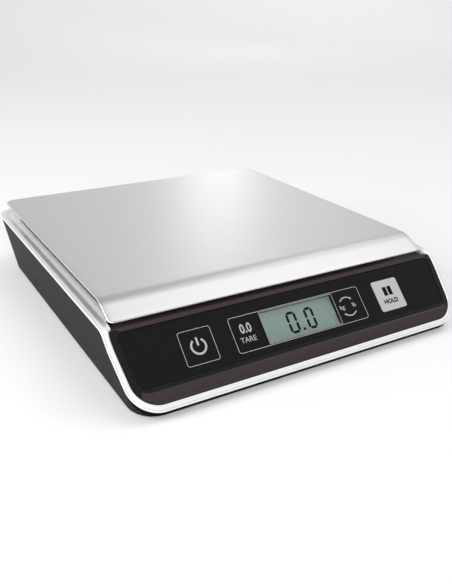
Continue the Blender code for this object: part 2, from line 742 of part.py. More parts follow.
def lower_casing():
    """Black tray with drafted walls: bosses, overload stops, battery bay, rear socket hole."""
    tray = casing_shell("lower_casing", "black_plastic")
    boolean(tray, envelope("tray_space", WALL, low=INNER_FLOOR_Z, high=2 * HEIGHT))
    foundation = INNER_FLOOR_Z - BITE
    bay = box(
        "bay_block",
        (BAY_MIN.x - BAY_WALL, BAY_MIN.y - BAY_WALL, foundation),
        (BAY_MAX.x + BAY_WALL, BAY_MAX.y + BAY_WALL, BAY_ROOF_Z + BAY_ROOF),
    )
    boolean(tray, bay, "UNION")
    fixed_block = box(
        "fixed_block",
        (-BEAM_HOLES[1] - BLOCK_MARGIN[1], PLATE_MIDDLE_Y - BEAM_SIDE / 2, foundation),
        (-BEAM_HOLES[0] + BLOCK_MARGIN[0], PLATE_MIDDLE_Y + BEAM_SIDE / 2, BEAM_Z - FIT),
    )
    boolean(tray, fixed_block, "UNION")
    stop_top = CARRIER_Z - TRAVEL - STOP_CLEAR
    for x in (-STOP_X, STOP_X):
        for y in (PLATE_MIDDLE_Y - STOP_Y, PLATE_MIDDLE_Y + STOP_Y):
            name = "overload_stop"
            stop = cylinder(name, STOP_RADIUS, foundation, stop_top, xy=(x, y), sides=16)
            boolean(tray, stop, "UNION")
    for x, y, top in screw_places():
        name = "case_boss"
        boss = cylinder(name, CASE_BOSS_RADIUS, foundation, top, xy=(x, y), sides=20)
        boolean(tray, boss, "UNION")
    boolean(tray, parting_cutter("above_joint", FIT, keep_below=True))
    for rail in usb_rails():
        boolean(tray, rail, "UNION")
    cut_screw_ways(tray)
    cut_battery_bay(tray)
    for at in foot_places():
        high = FLOOR_Z + FOOT_SEAT
        well = cylinder("foot_well", FOOT_RADIUS + FIT, -CLEAR, high, xy=at, sides=28)
        boolean(tray, well)
    half_x, half_z = USB_WIDTH / 2 + USB_CLEAR, USB_HEIGHT / 2 + USB_CLEAR
    hole = box(
        "socket_hole",
        (USB_X - half_x, usb_face_y() - CLEAR, USB_Z - half_z),
        (USB_X + half_x, BACK_Y + CLEAR, USB_Z + half_z),
    )
    boolean(tray, hole)


def cut_screw_ways(tray):
    """Holes under the tray for the load cell's and the casing's screws."""
    ways = []
    for x in BEAM_HOLES:
        at = (-x, PLATE_MIDDLE_Y)
        head_end = FIXED_HEAD_Z + BEAM_SCREW_HEAD + FIT
        ways.append((at, 2 * BEAM_SCREW_RADIUS + FIT, -CLEAR, head_end))
        ways.append((at, BEAM_SCREW_RADIUS + FIT, -CLEAR, BEAM_Z + CLEAR))
    for x, y, top in screw_places():
        head_end = top - CASE_BOSS_WEB
        ways.append(((x, y), 2 * CASE_SCREW_RADIUS + FIT, -CLEAR, head_end))
        ways.append(((x, y), CASE_SCREW_RADIUS + FIT, head_end - BITE, top + CLEAR))
    for at, radius, low, high in ways:
        boolean(tray, cylinder("screw_way", radius, low, high, xy=at, sides=16))


def cut_battery_bay(tray):
    space = box("bay_space", (*BAY_MIN, -CLEAR), (*BAY_MAX, BAY_ROOF_Z))
    boolean(tray, space)
    edge = Vector((1, 1)) * (DOOR_MARGIN + DOOR_GAP)
    door_top = FLOOR_Z + DOOR_SINK + DOOR_THICK
    doorway = box("doorway", (*(BAY_MIN - edge), -CLEAR), (*(BAY_MAX + edge), door_top + FIT))
    boolean(tray, doorway)


def foot_places():
    return [(x, y) for x in (-FOOT_X, FOOT_X) for y in FOOT_ROWS]


def screw_places():
    return [(side * x, y, top) for side in (-1, 1) for x, y, top in (BACK_SCREW, FRONT_SCREW)]


def feet():
    """Rubber feet seated in wells in the tray."""
    for number, at in enumerate(foot_places(), 1):
        high = FLOOR_Z + FOOT_SEAT - FIT
        cylinder(f"foot_{number}", FOOT_RADIUS, 0, high, "rubber", xy=at, sides=28)


def casing_screws():
    for number, (x, y, top) in enumerate(screw_places(), 1):
        head = top - CASE_BOSS_WEB - FIT
        screw(
            f"casing_screw_{number}",
            CASE_SCREW_RADIUS,
            head,
            head - CASE_SCREW_HEAD,
            top + CASE_SCREW_REACH,
            (x, y),
        )


# ---------------------------------------------------------------- control panel


def bezel_section():
    """The bezel's section in (y, z): a level shelf, then the slope down to the front."""
    back = OPENING_FRONT_Y - FIT
    shelf_end = CREASE.y - SHELF_DROP / math.tan(PANEL_ANGLE)
    under_end = shelf_end + BEZEL_THICK * math.tan(PANEL_ANGLE / 2)
    face_end = CREASE + SLOPE * (PANEL_LENGTH + 2 * CLEAR)
    back_end = face_end - NORMAL * BEZEL_THICK
    corners = [
        (back, SHELF_Z),
        (shelf_end, SHELF_Z),
        (face_end.y, face_end.z),
        (back_end.y, back_end.z),
        (under_end, SHELF_Z - BEZEL_THICK),
        (back, SHELF_Z - BEZEL_THICK),
    ]
    return rounded_corners(corners, [0, SHELF_BEND, 0, 0, 0, 0], 3)


def front_bezel():
    """Black panel plate with a shelf under the platform's lip and a pocket for the overlay."""
    bezel = side_prism("front_bezel", bezel_section(), 2 * CASE_WIDTH, "black_plastic")
    outline = envelope("bezel_outline", RIM_WIDTH + FIT, low=-CLEAR, high=2 * HEIGHT)
    boolean(bezel, outline, "INTERSECT")
    for side in (-1, 1):
        xs = sorted((side * (OPENING_HALF - FIT), side * CASE_WIDTH))
        arm = box(
            "deck_arm_space",
            (xs[0], DECK_END_Y - FIT, 0),
            (xs[1], BACK_Y, 2 * HEIGHT),
        )
        boolean(bezel, arm)
    x, y, boss_z = FRONT_SCREW
    for at in ((-x, y), (x, y)):
        radius = CASE_BOSS_RADIUS - BOSS_STEP
        boss = cylinder("bezel_boss", radius, boss_z + FIT, SHELF_Z - BITE, xy=at, sides=16)
        boolean(bezel, boss, "UNION")
        high = boss_z + CASE_SCREW_REACH + BITE
        radius = CASE_SCREW_RADIUS + FIT
        pilot = cylinder("bezel_pilot", radius, boss_z - CLEAR, high, xy=at, sides=12)
        boolean(bezel, pilot)
    post_face = BEZEL_THICK - BITE
    post_long = BOARD_DEPTH - FIT - post_face
    for x, along in board_screw_places():
        post = panel_cylinder("post", x, along, post_face, BOARD_POST_RADIUS, post_long, sides=14)
        boolean(bezel, post, "UNION")
        radius = BOARD_SCREW_RADIUS + FIT
        pilot = panel_cylinder("post_pilot", x, along, BEZEL_THICK, radius, BOARD_DEPTH, sides=10)
        boolean(bezel, pilot)
    boolean(bezel, overlay_solid("overlay_pocket", FIT, OVERLAY_SINK + OVERLAY_THICK + FIT, -CLEAR))
    for x, width in KEYS.values():
        boolean(bezel, key_opening("key_well", x, width))
    boolean(bezel, window_opening("window_hole"))


def key_opening(name, x, width):
    size = (width + 2 * KEY_GAP, KEY_SIZE + 2 * KEY_GAP, PANEL_CUT)
    return panel_box(name, x, KEY_ROW, -CLEAR, size, corner=KEY_CORNER + KEY_GAP, segments=3)


def window_opening(name):
    return panel_box(name, 0, KEY_ROW, -CLEAR, (2 * WINDOW_HALF, WINDOW_HEIGHT, PANEL_CUT))


def overlay_solid(name, grow, bottom, top, finish=None):
    """The overlay's outline, between two depths under the panel plane."""
    high, low = OVERLAY_TOP - grow, OVERLAY_BOTTOM + grow
    inset = RIM_WIDTH + OVERLAY_EDGE - grow
    corners = [
        (-panel_half_width(high, inset), -high),
        (panel_half_width(high, inset), -high),
        (panel_half_width(low, inset), -low),
        (-panel_half_width(low, inset), -low),
    ]
    outline = rounded_corners(corners, [OVERLAY_CORNER + grow] * 4, 5)
    matrix = PANEL.matrix_world @ Matrix.Translation((0, 0, -(bottom + top) / 2))
    return outline_solid(name, outline, bottom - top, matrix, finish)


def control_overlay():
    """Glossy printed overlay with openings for the keys, and the lens in its window."""
    bottom = OVERLAY_SINK + OVERLAY_THICK
    overlay = overlay_solid("control_overlay", 0, bottom, OVERLAY_SINK, "gloss_black")
    for x, width in KEYS.values():
        boolean(overlay, key_opening("key_hole", x, width))
    boolean(overlay, window_opening("window_cut"))
    size = (2 * (WINDOW_HALF - FIT), WINDOW_HEIGHT - 2 * FIT, OVERLAY_THICK)
    panel_box("display_lens", 0, KEY_ROW, OVERLAY_SINK, size, "clear_lens")


def keys():
    """Four keys: a cap in its well, a lug behind the bezel and a stem towards the switch."""
    lug_face = BEZEL_THICK + FIT
    lug_back = lug_face + RETAINER_THICK
    stem_end = SWITCH_FACE - PLUNGER_STICKS_OUT - FIT
    for name, (x, width) in KEYS.items():
        finish = "key_silver" if name == "hold" else "gloss_black"
        size = (width, KEY_SIZE, KEY_THICK)
        corner = {"corner": KEY_CORNER, "segments": 3}
        key = panel_box(f"key_{name}", x, KEY_ROW, OVERLAY_SINK, size, finish, **corner)
        core = (RETAINER_WIDTH, KEY_SIZE - 2 * KEY_GAP, lug_back - BITE - RETAINER_THICK / 2)
        boolean(key, panel_box("key_core", x, KEY_ROW, BITE, core), "UNION")
        lug_length = KEY_SIZE + 2 * KEY_GAP + 2 * RETAINER_REACH
        lug = (RETAINER_WIDTH, lug_length, RETAINER_THICK)
        boolean(key, panel_box("key_lug", x, KEY_ROW, lug_face, lug), "UNION")
        stem = panel_cylinder(
            "key_stem", x, KEY_ROW, BITE, PLUNGER_RADIUS, stem_end - BITE, sides=14
        )
        boolean(key, stem, "UNION")


def switches():
    """Switch bodies on the main board and the plungers that the keys' stems press."""
    plunger_long = PLUNGER_STICKS_OUT + PLUNGER_INSIDE
    bore_end = SWITCH_FACE + PLUNGER_INSIDE + PLUNGER_ROOM
    for name, (x, _) in KEYS.items():
        face = SWITCH_FACE - PLUNGER_STICKS_OUT
        finish = "wire_red"
        part = f"switch_plunger_{name}"
        panel_cylinder(part, x, KEY_ROW, face, PLUNGER_RADIUS, plunger_long, finish, sides=14)
        size = (SWITCH_SIDE, SWITCH_SIDE, SWITCH_HEIGHT)
        body = panel_box(f"switch_body_{name}", x, KEY_ROW, SWITCH_FACE, size, "black_plastic")
        radius = PLUNGER_RADIUS + FIT
        boolean(body, panel_cylinder("plunger_bore", x, KEY_ROW, 0, radius, bore_end, sides=14))


def board_screw_places():
    return [(side * (BOARD_HALF - BOARD_SCREW_INSET), KEY_ROW) for side in (-1, 1)]


def display():
    """Display glass in its frame, and the rubber strip that connects it to the board."""
    face = BEZEL_THICK + FIT
    width, height = 2 * (WINDOW_HALF + LCD_MARGIN), WINDOW_HEIGHT + 2 * LCD_MARGIN
    panel_box("lcd_glass", 0, KEY_ROW, face, (width, height, LCD_THICK), "lcd")
    outer = (width + 2 * FRAME_WALL[0], height + 2 * FRAME_WALL[1], BOARD_DEPTH - FIT - face)
    frame = panel_box("lcd_frame", 0, KEY_ROW, face, outer, "black_plastic")
    inner = (width + 2 * FIT, height + 2 * FIT, PANEL_CUT)
    boolean(frame, panel_box("lcd_space", 0, KEY_ROW, 0, inner))
    strip_face = face + LCD_THICK + FIT
    size = (width - 2 * STRIP_WIDTH, STRIP_WIDTH, BOARD_DEPTH - FIT - strip_face)
    along = KEY_ROW + height / 2 - STRIP_WIDTH
    panel_box("lcd_connector_strip", 0, along, strip_face, size, "rubber")


def main_board():
    """Circuit board screwed to two posts behind the bezel, with its controller."""
    size = (2 * BOARD_HALF, BOARD_BOTTOM - BOARD_TOP, BOARD_THICK)
    board = panel_box("main_board", 0, BOARD_MIDDLE, BOARD_DEPTH, size, "board_green")
    head = -(BOARD_BACK + FIT)
    for number, (x, along) in enumerate(board_screw_places(), 1):
        radius = BOARD_SCREW_RADIUS + FIT
        boolean(board, panel_cylinder("board_hole", x, along, 0, radius, PANEL_CUT, sides=12))
        screw(
            f"board_screw_{number}",
            BOARD_SCREW_RADIUS,
            head,
            head - BOARD_SCREW_HEAD,
            -BOARD_DEPTH + BOARD_SCREW_REACH,
            (x, -along),
            parent=PANEL,
        )
    size = (CHIP_SIDE, CHIP_SIDE, CHIP_THICK)
    panel_box("microcontroller", CHIP_X, BOARD_MIDDLE, BOARD_BACK + FIT, size, "black_plastic")


# ---------------------------------------------------------------- power


def battery_row(number):
    return BAY_MIN.y + BATTERY_PITCH * (number + 0.5)


def batteries():
    """Three cells in series, every other one turned round, each pushed by a spring."""
    left, right = BAY_MIN.x + FIT + CONTACT_THICK, BAY_MAX.x - FIT - CONTACT_THICK
    for i in range(3):
        at = (battery_row(i), BATTERY_Z)
        spring_left = i % 2 == 0
        low = right - FIT - BATTERY_LENGTH if spring_left else left + FIT
        high = low + BATTERY_LENGTH
        if spring_left:
            body, nub = (low, high - BATTERY_NUB), (high - 2 * BATTERY_NUB, high)
            room = (left + FIT, low - FIT)
        else:
            body, nub = (low + BATTERY_NUB, high), (low, low + 2 * BATTERY_NUB)
            room = (high + FIT, right - FIT)
        name = f"battery_{i + 1}"
        cell = cylinder(name, BATTERY_RADIUS, *body, "cell_jacket", sides=20, xy=at, axis="X")
        button = cylinder("button", BATTERY_NUB_RADIUS, *nub, sides=12, xy=at, axis="X")
        boolean(cell, button, "UNION")
        battery_spring(f"battery_spring_{i + 1}", room, at[0], spring_left)


def battery_contacts():
    """Contact plates at both ends of the bay. Two of them bridge neighbouring cells."""
    left, right = BAY_MIN.x + FIT, BAY_MAX.x - FIT - CONTACT_THICK
    plates = {
        "contact_negative": (left, 0, 0),
        "contact_bridge_left": (left, 1, 2),
        "contact_bridge_right": (right, 0, 1),
        "contact_positive": (right, 2, 2),
    }
    for name, (x, first, last) in plates.items():
        low = (x, battery_row(first) - CONTACT_HALF, BATTERY_Z - CONTACT_HALF)
        high = (x + CONTACT_THICK, battery_row(last) + CONTACT_HALF, BATTERY_Z + CONTACT_HALF)
        box(name, low, high, "zinc")


def battery_spring(name, span, y, base_left):
    """A conical coil along X that narrows towards the cell."""
    turns, per_turn = 3, 10
    wide, narrow = SPRING_RADIUS, 0.6 * SPRING_RADIUS
    start, end = span[0] + SPRING_WIRE, span[1] - SPRING_WIRE
    points = []
    for step in range(turns * per_turn + 1):
        share = step / (turns * per_turn)
        angle = 2 * math.pi * turns * share
        radius = wide + (narrow - wide) * (share if base_left else 1 - share)
        x = start + (end - start) * share
        points.append((x, y + radius * math.cos(angle), BATTERY_Z + radius * math.sin(angle)))
    wire(name, points, SPRING_WIRE, "zinc", per_span=1)


def battery_door():
    """Door in the underside, hinged on its rounded left edge, with a finger groove."""
    edge = Vector((DOOR_MARGIN, DOOR_MARGIN))
    door_z = FLOOR_Z + DOOR_SINK
    low = Vector((*(BAY_MIN - edge), door_z))
    high = Vector((*(BAY_MAX + edge), door_z + DOOR_THICK))
    axis = Vector((low.x + DOOR_THICK / 2, 0, (low.z + high.z) / 2))
    pivot = bpy.data.objects.new("battery_door_axis", None)
    SCALE.objects.link(pivot)
    pivot.location = axis
    bm = bmesh.new()
    bmesh.ops.create_cube(bm, size=1)
    bmesh.ops.scale(bm, vec=high - low, verts=bm.verts)
    hinge_edges = []
    for hinge_edge in bm.edges:
        a, b = (v.co for v in hinge_edge.verts)
        if a.x < 0 and b.x < 0 and abs(a.y - b.y) > DOOR_THICK:
            hinge_edges.append(hinge_edge)
    bmesh.ops.bevel(
        bm,
        geom=hinge_edges,
        offset=0.49 * DOOR_THICK,
        segments=4,
        profile=0.5,
        affect="EDGES",
    )
    bmesh.ops.translate(bm, vec=(low + high) / 2 - axis, verts=bm.verts)
    door = from_bmesh("battery_door", bm, "black_plastic", pivot)
    long, wide, deep = DOOR_GROOVE
    end_x, middle_y = high.x - DOOR_GROOVE_INSET, (low.y + high.y) / 2
    groove = box(
        "finger_groove",
        (end_x - long, middle_y - wide / 2, -CLEAR),
        (end_x, middle_y + wide / 2, door_z + deep),
    )
    boolean(door, groove)


def usb_face_y():
    """Inner face of the rear wall behind which the socket sits."""
    return BACK_Y - (CREST_Z - USB_Z) * math.tan(BACK_DRAFT) - WALL


def usb_board_span():
    """The socket board's corners."""
    top = USB_Z - USB_HEIGHT / 2 - FIT
    back = usb_face_y() - USB_BOARD_SETBACK
    low = Vector((USB_X - USB_BOARD_WIDTH / 2, back - USB_BOARD_DEPTH, top - BOARD_THICK))
    high = Vector((USB_X + USB_BOARD_WIDTH / 2, back, top))
    return low, high


def usb_rails():
    """Grooved rails on the floor of the tray that the socket's board slides into."""
    low, high = usb_board_span()
    near, far = low.y + 2 * RAIL_GRIP, high.y - 2 * RAIL_GRIP
    rails = []
    for side, edge in ((-1, low.x), (1, high.x)):
        xs = sorted((edge - side * RAIL_GRIP, edge + side * (RAIL_GRIP + FIT)))
        rail = box(
            "usb_rail", (xs[0], near, INNER_FLOOR_Z - BITE), (xs[1], far, high.z + RAIL_GRIP)
        )
        xs = sorted((edge - side * 2 * RAIL_GRIP, edge + side * FIT))
        groove = box("usb_groove", (xs[0], low.y, low.z - FIT), (xs[1], high.y, high.z + FIT))
        boolean(rail, groove)
        rails.append(rail)
    return rails


def usb_parts():
    """Socket shell with its tongue, on a small board behind the hole in the rear wall."""
    face_y = usb_face_y()
    half_x, half_z = USB_WIDTH / 2, USB_HEIGHT / 2
    socket = box(
        "usb_socket",
        (USB_X - half_x, face_y - USB_DEPTH, USB_Z - half_z),
        (USB_X + half_x, face_y, USB_Z + half_z),
        "zinc",
    )
    inner_x, inner_z = half_x - USB_SHELL, half_z - USB_SHELL
    mouth = box(
        "socket_mouth",
        (USB_X - inner_x, face_y - USB_DEPTH + BITE, USB_Z - inner_z),
        (USB_X + inner_x, face_y + CLEAR, USB_Z + inner_z),
    )
    boolean(socket, mouth)
    tongue_x, tongue_z = inner_x - 3 * USB_SHELL, USB_SHELL
    tongue = box(
        "socket_tongue",
        (USB_X - tongue_x, face_y - USB_DEPTH + BITE / 2, USB_Z - tongue_z),
        (USB_X + tongue_x, face_y - BITE, USB_Z + tongue_z),
    )
    boolean(socket, tongue, "UNION")
    box("usb_board", *usb_board_span(), "board_green")


# ---------------------------------------------------------------- leads


def at_board(x, along, radius):
    """A point where a lead of this radius meets the back of the main board."""
    return PANEL.matrix_world @ Vector((x, -along, -(BOARD_BACK + radius + FIT)))


def leads():
    """Insulated leads from the load cell, the battery contacts and the socket to the board."""
    beam_end = Vector((-BEAM_LENGTH / 2 - CELL_CABLE / 2 - FIT, PLATE_MIDDLE_Y, BEAM_Z + BEAM_SIDE / 2))
    cell_route = [
        beam_end,
        beam_end + Vector((-5, -1.5, -2)) * MM,
        Vector((-50, -10, 13)) * MM,
        Vector((-46, -50, 10)) * MM,
        Vector((-34, -76, 13)) * MM,
        at_board(-22 * MM, 15 * MM, CELL_CABLE),
    ]
    wire("load_cell_cable", cell_route, CELL_CABLE, "wire_grey")
    bay_front = BAY_MIN.y - BAY_WALL - BATTERY_LEAD - FIT
    for name, start_x, finish in (
        ("battery_lead_positive", 40 * MM, "wire_red"),
        ("battery_lead_negative", 22 * MM, "wire_black"),
    ):
        start = Vector((start_x, bay_front, 12 * MM))
        route = [
            start,
            start + Vector((-6, -4, -2)) * MM,
            start + Vector((-12, -8, -2)) * MM,
            at_board(start_x - 18 * MM, 26 * MM, BATTERY_LEAD),
        ]
        wire(name, route, BATTERY_LEAD, finish)
    behind_board = usb_board_span()[0].y - USB_LEAD - FIT
    usb_route = [
        Vector((USB_X, behind_board, USB_Z - 3 * MM)),
        Vector((USB_X, behind_board - 10 * MM, 8 * MM)),
        Vector((-60, 40, 6.5)) * MM,
        Vector((-56, -10, 6.5)) * MM,
        Vector((-50, -60, 6.5)) * MM,
        Vector((-42, -80, 9)) * MM,
        at_board(-34 * MM, 24 * MM, USB_LEAD),
    ]
    wire("usb_lead", usb_route, USB_LEAD, "wire_grey")


# ---------------------------------------------------------------- assembly

clear_scene()
SCALE = make_collection("letter_scale")
CUTTERS = make_collection("cutters")
PANEL = bpy.data.objects.new("panel_plane", None)
SCALE.objects.link(PANEL)
PANEL.location = CREASE
PANEL.rotation_euler = (PANEL_ANGLE, 0, 0)
bpy.context.view_layer.update()

platform_plate()
platform_carrier()
cushions()
load_cell()
load_cell_screws()
upper_casing()
lower_casing()
feet()
casing_screws()
front_bezel()
control_overlay()
keys()
switches()
display()
main_board()
batteries()
battery_contacts()
battery_door()
usb_parts()
leads()
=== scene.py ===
"""Looks of a digital letter scale: a bent steel platform over a silver and black plastic
casing, with a sloping black panel of keys and a display. Metres, +Z up, -Y is the front."""

import json
import math

import bmesh
import bpy
import numpy as np
from mathutils import Matrix, Vector


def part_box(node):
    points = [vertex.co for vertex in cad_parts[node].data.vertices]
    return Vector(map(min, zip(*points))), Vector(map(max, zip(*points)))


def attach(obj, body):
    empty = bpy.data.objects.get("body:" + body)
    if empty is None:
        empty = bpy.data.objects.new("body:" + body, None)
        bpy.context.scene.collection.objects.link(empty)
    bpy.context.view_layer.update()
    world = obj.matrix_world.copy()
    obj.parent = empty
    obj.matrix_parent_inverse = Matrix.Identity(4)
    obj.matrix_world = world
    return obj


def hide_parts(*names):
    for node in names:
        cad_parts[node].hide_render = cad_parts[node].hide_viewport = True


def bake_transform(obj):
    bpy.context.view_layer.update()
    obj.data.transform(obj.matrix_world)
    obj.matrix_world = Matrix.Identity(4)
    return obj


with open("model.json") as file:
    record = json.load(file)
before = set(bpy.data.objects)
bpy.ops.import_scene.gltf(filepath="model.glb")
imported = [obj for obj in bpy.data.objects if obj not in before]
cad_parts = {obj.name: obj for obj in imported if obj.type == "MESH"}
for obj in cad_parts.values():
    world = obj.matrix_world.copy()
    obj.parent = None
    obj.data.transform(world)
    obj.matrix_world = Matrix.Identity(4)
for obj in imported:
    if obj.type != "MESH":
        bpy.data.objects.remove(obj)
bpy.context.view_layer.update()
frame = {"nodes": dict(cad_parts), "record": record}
MM = 0.001


# ------------------------------------------------------------------ camera
# A view from the front left and a little above, as the scale is seen from a desk chair.
# The camera is close, so the near corner looms larger than the far ones.

camera_place = Vector((-195.5, -356.25, 183.7)) * MM
camera_yaw = math.radians(30.395)
camera_pitch = math.radians(24.6155)
camera_roll = math.radians(0.492)
looks = Vector(
    (
        math.sin(camera_yaw) * math.cos(camera_pitch),
        math.cos(camera_yaw) * math.cos(camera_pitch),
        -math.sin(camera_pitch),
    )
)
level_right = Vector((math.cos(camera_yaw), -math.sin(camera_yaw), 0))
level_up = level_right.cross(looks)
camera_right = level_right * math.cos(camera_roll) + level_up * math.sin(camera_roll)
camera_up = level_up * math.cos(camera_roll) - level_right * math.sin(camera_roll)
camera_data = bpy.data.cameras.new("camera")
camera_data.sensor_width = 36
camera_data.lens = 40.87
camera_data.clip_start = 0.01
camera = bpy.data.objects.new("camera", camera_data)
bpy.context.scene.collection.objects.link(camera)
columns = Matrix((camera_right, camera_up, -looks)).transposed()
camera.matrix_world = Matrix.Translation(camera_place) @ columns.to_4x4()
bpy.context.scene.camera = camera


# ------------------------------------------------------------------ studio
# A white sweep under the scale, lit a little from below, with soft lights overhead, at the
# left, in front and on the sweep's back, as a catalogue studio sets them.


def plain_material(name, colour, roughness, metallic=0.0, specular=0.5):
    """A Principled material with its own colour, roughness, metallic and specular values."""
    made = bpy.data.materials.new(name)
    made.use_nodes = True
    shader = made.node_tree.nodes["Principled BSDF"]
    shader.inputs["Base Color"].default_value = (*colour, 1)
    shader.inputs["Roughness"].default_value = roughness
    shader.inputs["Metallic"].default_value = metallic
    shader.inputs["Specular IOR Level"].default_value = specular
    return made


def grid_faces(rows, columns, close_rows=False, close_columns=False, start=0):
    """Quads of a rows by columns grid of points, stored row by row from index start."""
    r = np.arange(rows if close_rows else rows - 1)
    c = np.arange(columns if close_columns else columns - 1)
    r, c = np.meshgrid(r, c, indexing="ij")
    up, right = (r + 1) % rows, (c + 1) % columns
    corners = [r * columns + c, r * columns + right, up * columns + right, up * columns + c]
    return np.stack(corners, -1).reshape(-1, 4) + start


def piece(name, points, faces, material, smooth_under=40):
    """A mesh object at the origin from an array of points and its faces."""
    mesh = bpy.data.meshes.new(name)
    mesh.from_pydata(np.asarray(points).reshape(-1, 3).tolist(), [], [list(f) for f in faces])
    mesh.validate()
    mesh.materials.append(material)
    mesh.shade_smooth()
    mesh.set_sharp_from_angle(angle=math.radians(smooth_under))
    obj = bpy.data.objects.new(name, mesh)
    bpy.context.scene.collection.objects.link(obj)
    return obj


def studio_sweep():
    """Paper that lies flat under the scale and rises behind it in one wide curve.

    Along the sweep, height = radius * (1 - cos t) while the paper bends, then it is upright.
    """
    reach, radius, rise = 3.0, 1.2, 2.4
    bend = np.linspace(0, math.pi / 2, 25)
    run = np.concatenate([[-reach], 1.6 + radius * np.sin(bend), [1.6 + radius]])
    height = np.concatenate([[0], radius * (1 - np.cos(bend)), [rise]]) - 0.2 * MM
    across = np.array([-3.5, 3.5])
    x, y = np.meshgrid(across, run, indexing="ij")
    z = np.broadcast_to(height, x.shape)
    return np.stack([x, y, z], -1)


sweep_points = studio_sweep()
paper = plain_material("studio_paper", (0.8, 0.8, 0.8), 0.9, 0, 0.2)
glow = paper.node_tree.nodes["Principled BSDF"].inputs
glow["Emission Color"].default_value = (1, 1, 1, 1)
glow["Emission Strength"].default_value = 0.14
sweep = piece("studio_sweep", sweep_points, grid_faces(*sweep_points.shape[:2]), paper)

world = bpy.data.worlds.new("studio_world")
world.use_nodes = True
world.node_tree.nodes["Background"].inputs["Color"].default_value = (0.97, 0.98, 1.0, 1)
world.node_tree.nodes["Background"].inputs["Strength"].default_value = 0.42
bpy.context.scene.world = world
bpy.context.scene.view_settings.view_transform = "Standard"


def soft_light(name, place, aim, size, power):
    """A rectangular area light at place that points at aim."""
    data = bpy.data.lights.new(name, "AREA")
    data.shape = "RECTANGLE"
    data.size, data.size_y = size
    data.energy = power
    light = bpy.data.objects.new(name, data)
    bpy.context.scene.collection.objects.link(light)
    light.visible_camera = False
    light.location = place
    light.rotation_euler = (Vector(aim) - Vector(place)).to_track_quat("-Z", "Y").to_euler()


soft_light("overhead_light", (0.7, -0.1, 1.35), (0.0, 0.0, 0.0), (0.7, 1.4), 5)
soft_light("left_light", (-1.3, 0.2, 0.65), (0.0, 0.0, 0.0), (0.9, 0.7), 10)
soft_light("front_light", (-0.6, -1.3, 0.8), (0.0, -0.1, 0.0), (0.9, 0.5), 14)
soft_light("wall_light", (2.0, 1.3, 2.5), (2.1, 2.8, 1.2), (1.2, 0.7), 26)
soft_light("back_light", (1.0, 1.75, 0.6), (0.05, 0.08, 0.045), (0.25, 0.2), 0.6)


# ------------------------------------------------------------------ steel platform
# The weighing platform is one stainless sheet with rounded back corners. Its front edge
# is pressed down in two gentle bends. Its rim is a lighter, smoother steel: a painted
# highlight. It lifts off.

plate_low, plate_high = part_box("platform_plate")
plate_thick = 1.1 * MM
plate_half = plate_high.x
lip_bend, lip_straight, tip_bend = 20 * MM, 8.9 * MM, 6 * MM
lip_angle, tip_angle = math.radians(27), math.radians(45)
lip_forward = (
    lip_bend * math.sin(lip_angle)
    + lip_straight * math.cos(lip_angle)
    + tip_bend * (math.sin(tip_angle) - math.sin(lip_angle))
)
plate_flat = plate_high.y - plate_low.y - lip_forward


def bent_line(along, runs, start):
    """A line in (y, z) that goes towards -Y from start, through straight runs and bends.

    runs lists (length, turn): the heading falls by turn over that length, evenly. Returns the
    points and the unit normals, which point up and forward, at the distances in along.
    """
    y, z, angle = start[0], start[1], 0.0
    point = np.zeros((len(along), 2))
    normal = np.zeros((len(along), 2))
    done = 0.0
    for number, (length, turn) in enumerate(runs):
        last = number == len(runs) - 1
        inside = (along >= done) | (number == 0)
        s = along[inside] - done
        if not last:
            s = np.minimum(s, length)
        if turn:
            radius = length / turn
            a = angle + s / radius
            point[inside, 0] = y - radius * (np.sin(a) - math.sin(angle))
            point[inside, 1] = z + radius * (np.cos(a) - math.cos(angle))
        else:
            a = np.full(s.shape, angle)
            point[inside, 0] = y - s * math.cos(angle)
            point[inside, 1] = z - s * math.sin(angle)
        normal[inside] = np.stack([-np.sin(a), np.cos(a)], -1)
        if turn:
            y -= radius * (math.sin(angle + turn) - math.sin(angle))
            z += radius * (math.cos(angle + turn) - math.cos(angle))
        else:
            y -= length * math.cos(angle)
            z -= length * math.sin(angle)
        angle += turn
        done += length
    return point, normal


plate_runs = [
    (plate_flat, 0),
    (lip_bend * lip_angle, lip_angle),
    (lip_straight, 0),
    (tip_bend * (tip_angle - lip_angle), tip_angle - lip_angle),
]
plate_length = sum(length for length, turn in plate_runs)


def on_plate(x, along, lift):
    """The place of a point of the flat sheet: x across, along from the back edge, lift up."""
    point, normal = bent_line(along.ravel(), plate_runs, (plate_high.y, plate_high.z))
    yz = point + normal * lift.reshape(-1, 1)
    return np.concatenate([x.reshape(-1, 1), yz], 1).reshape(*x.shape, 3)


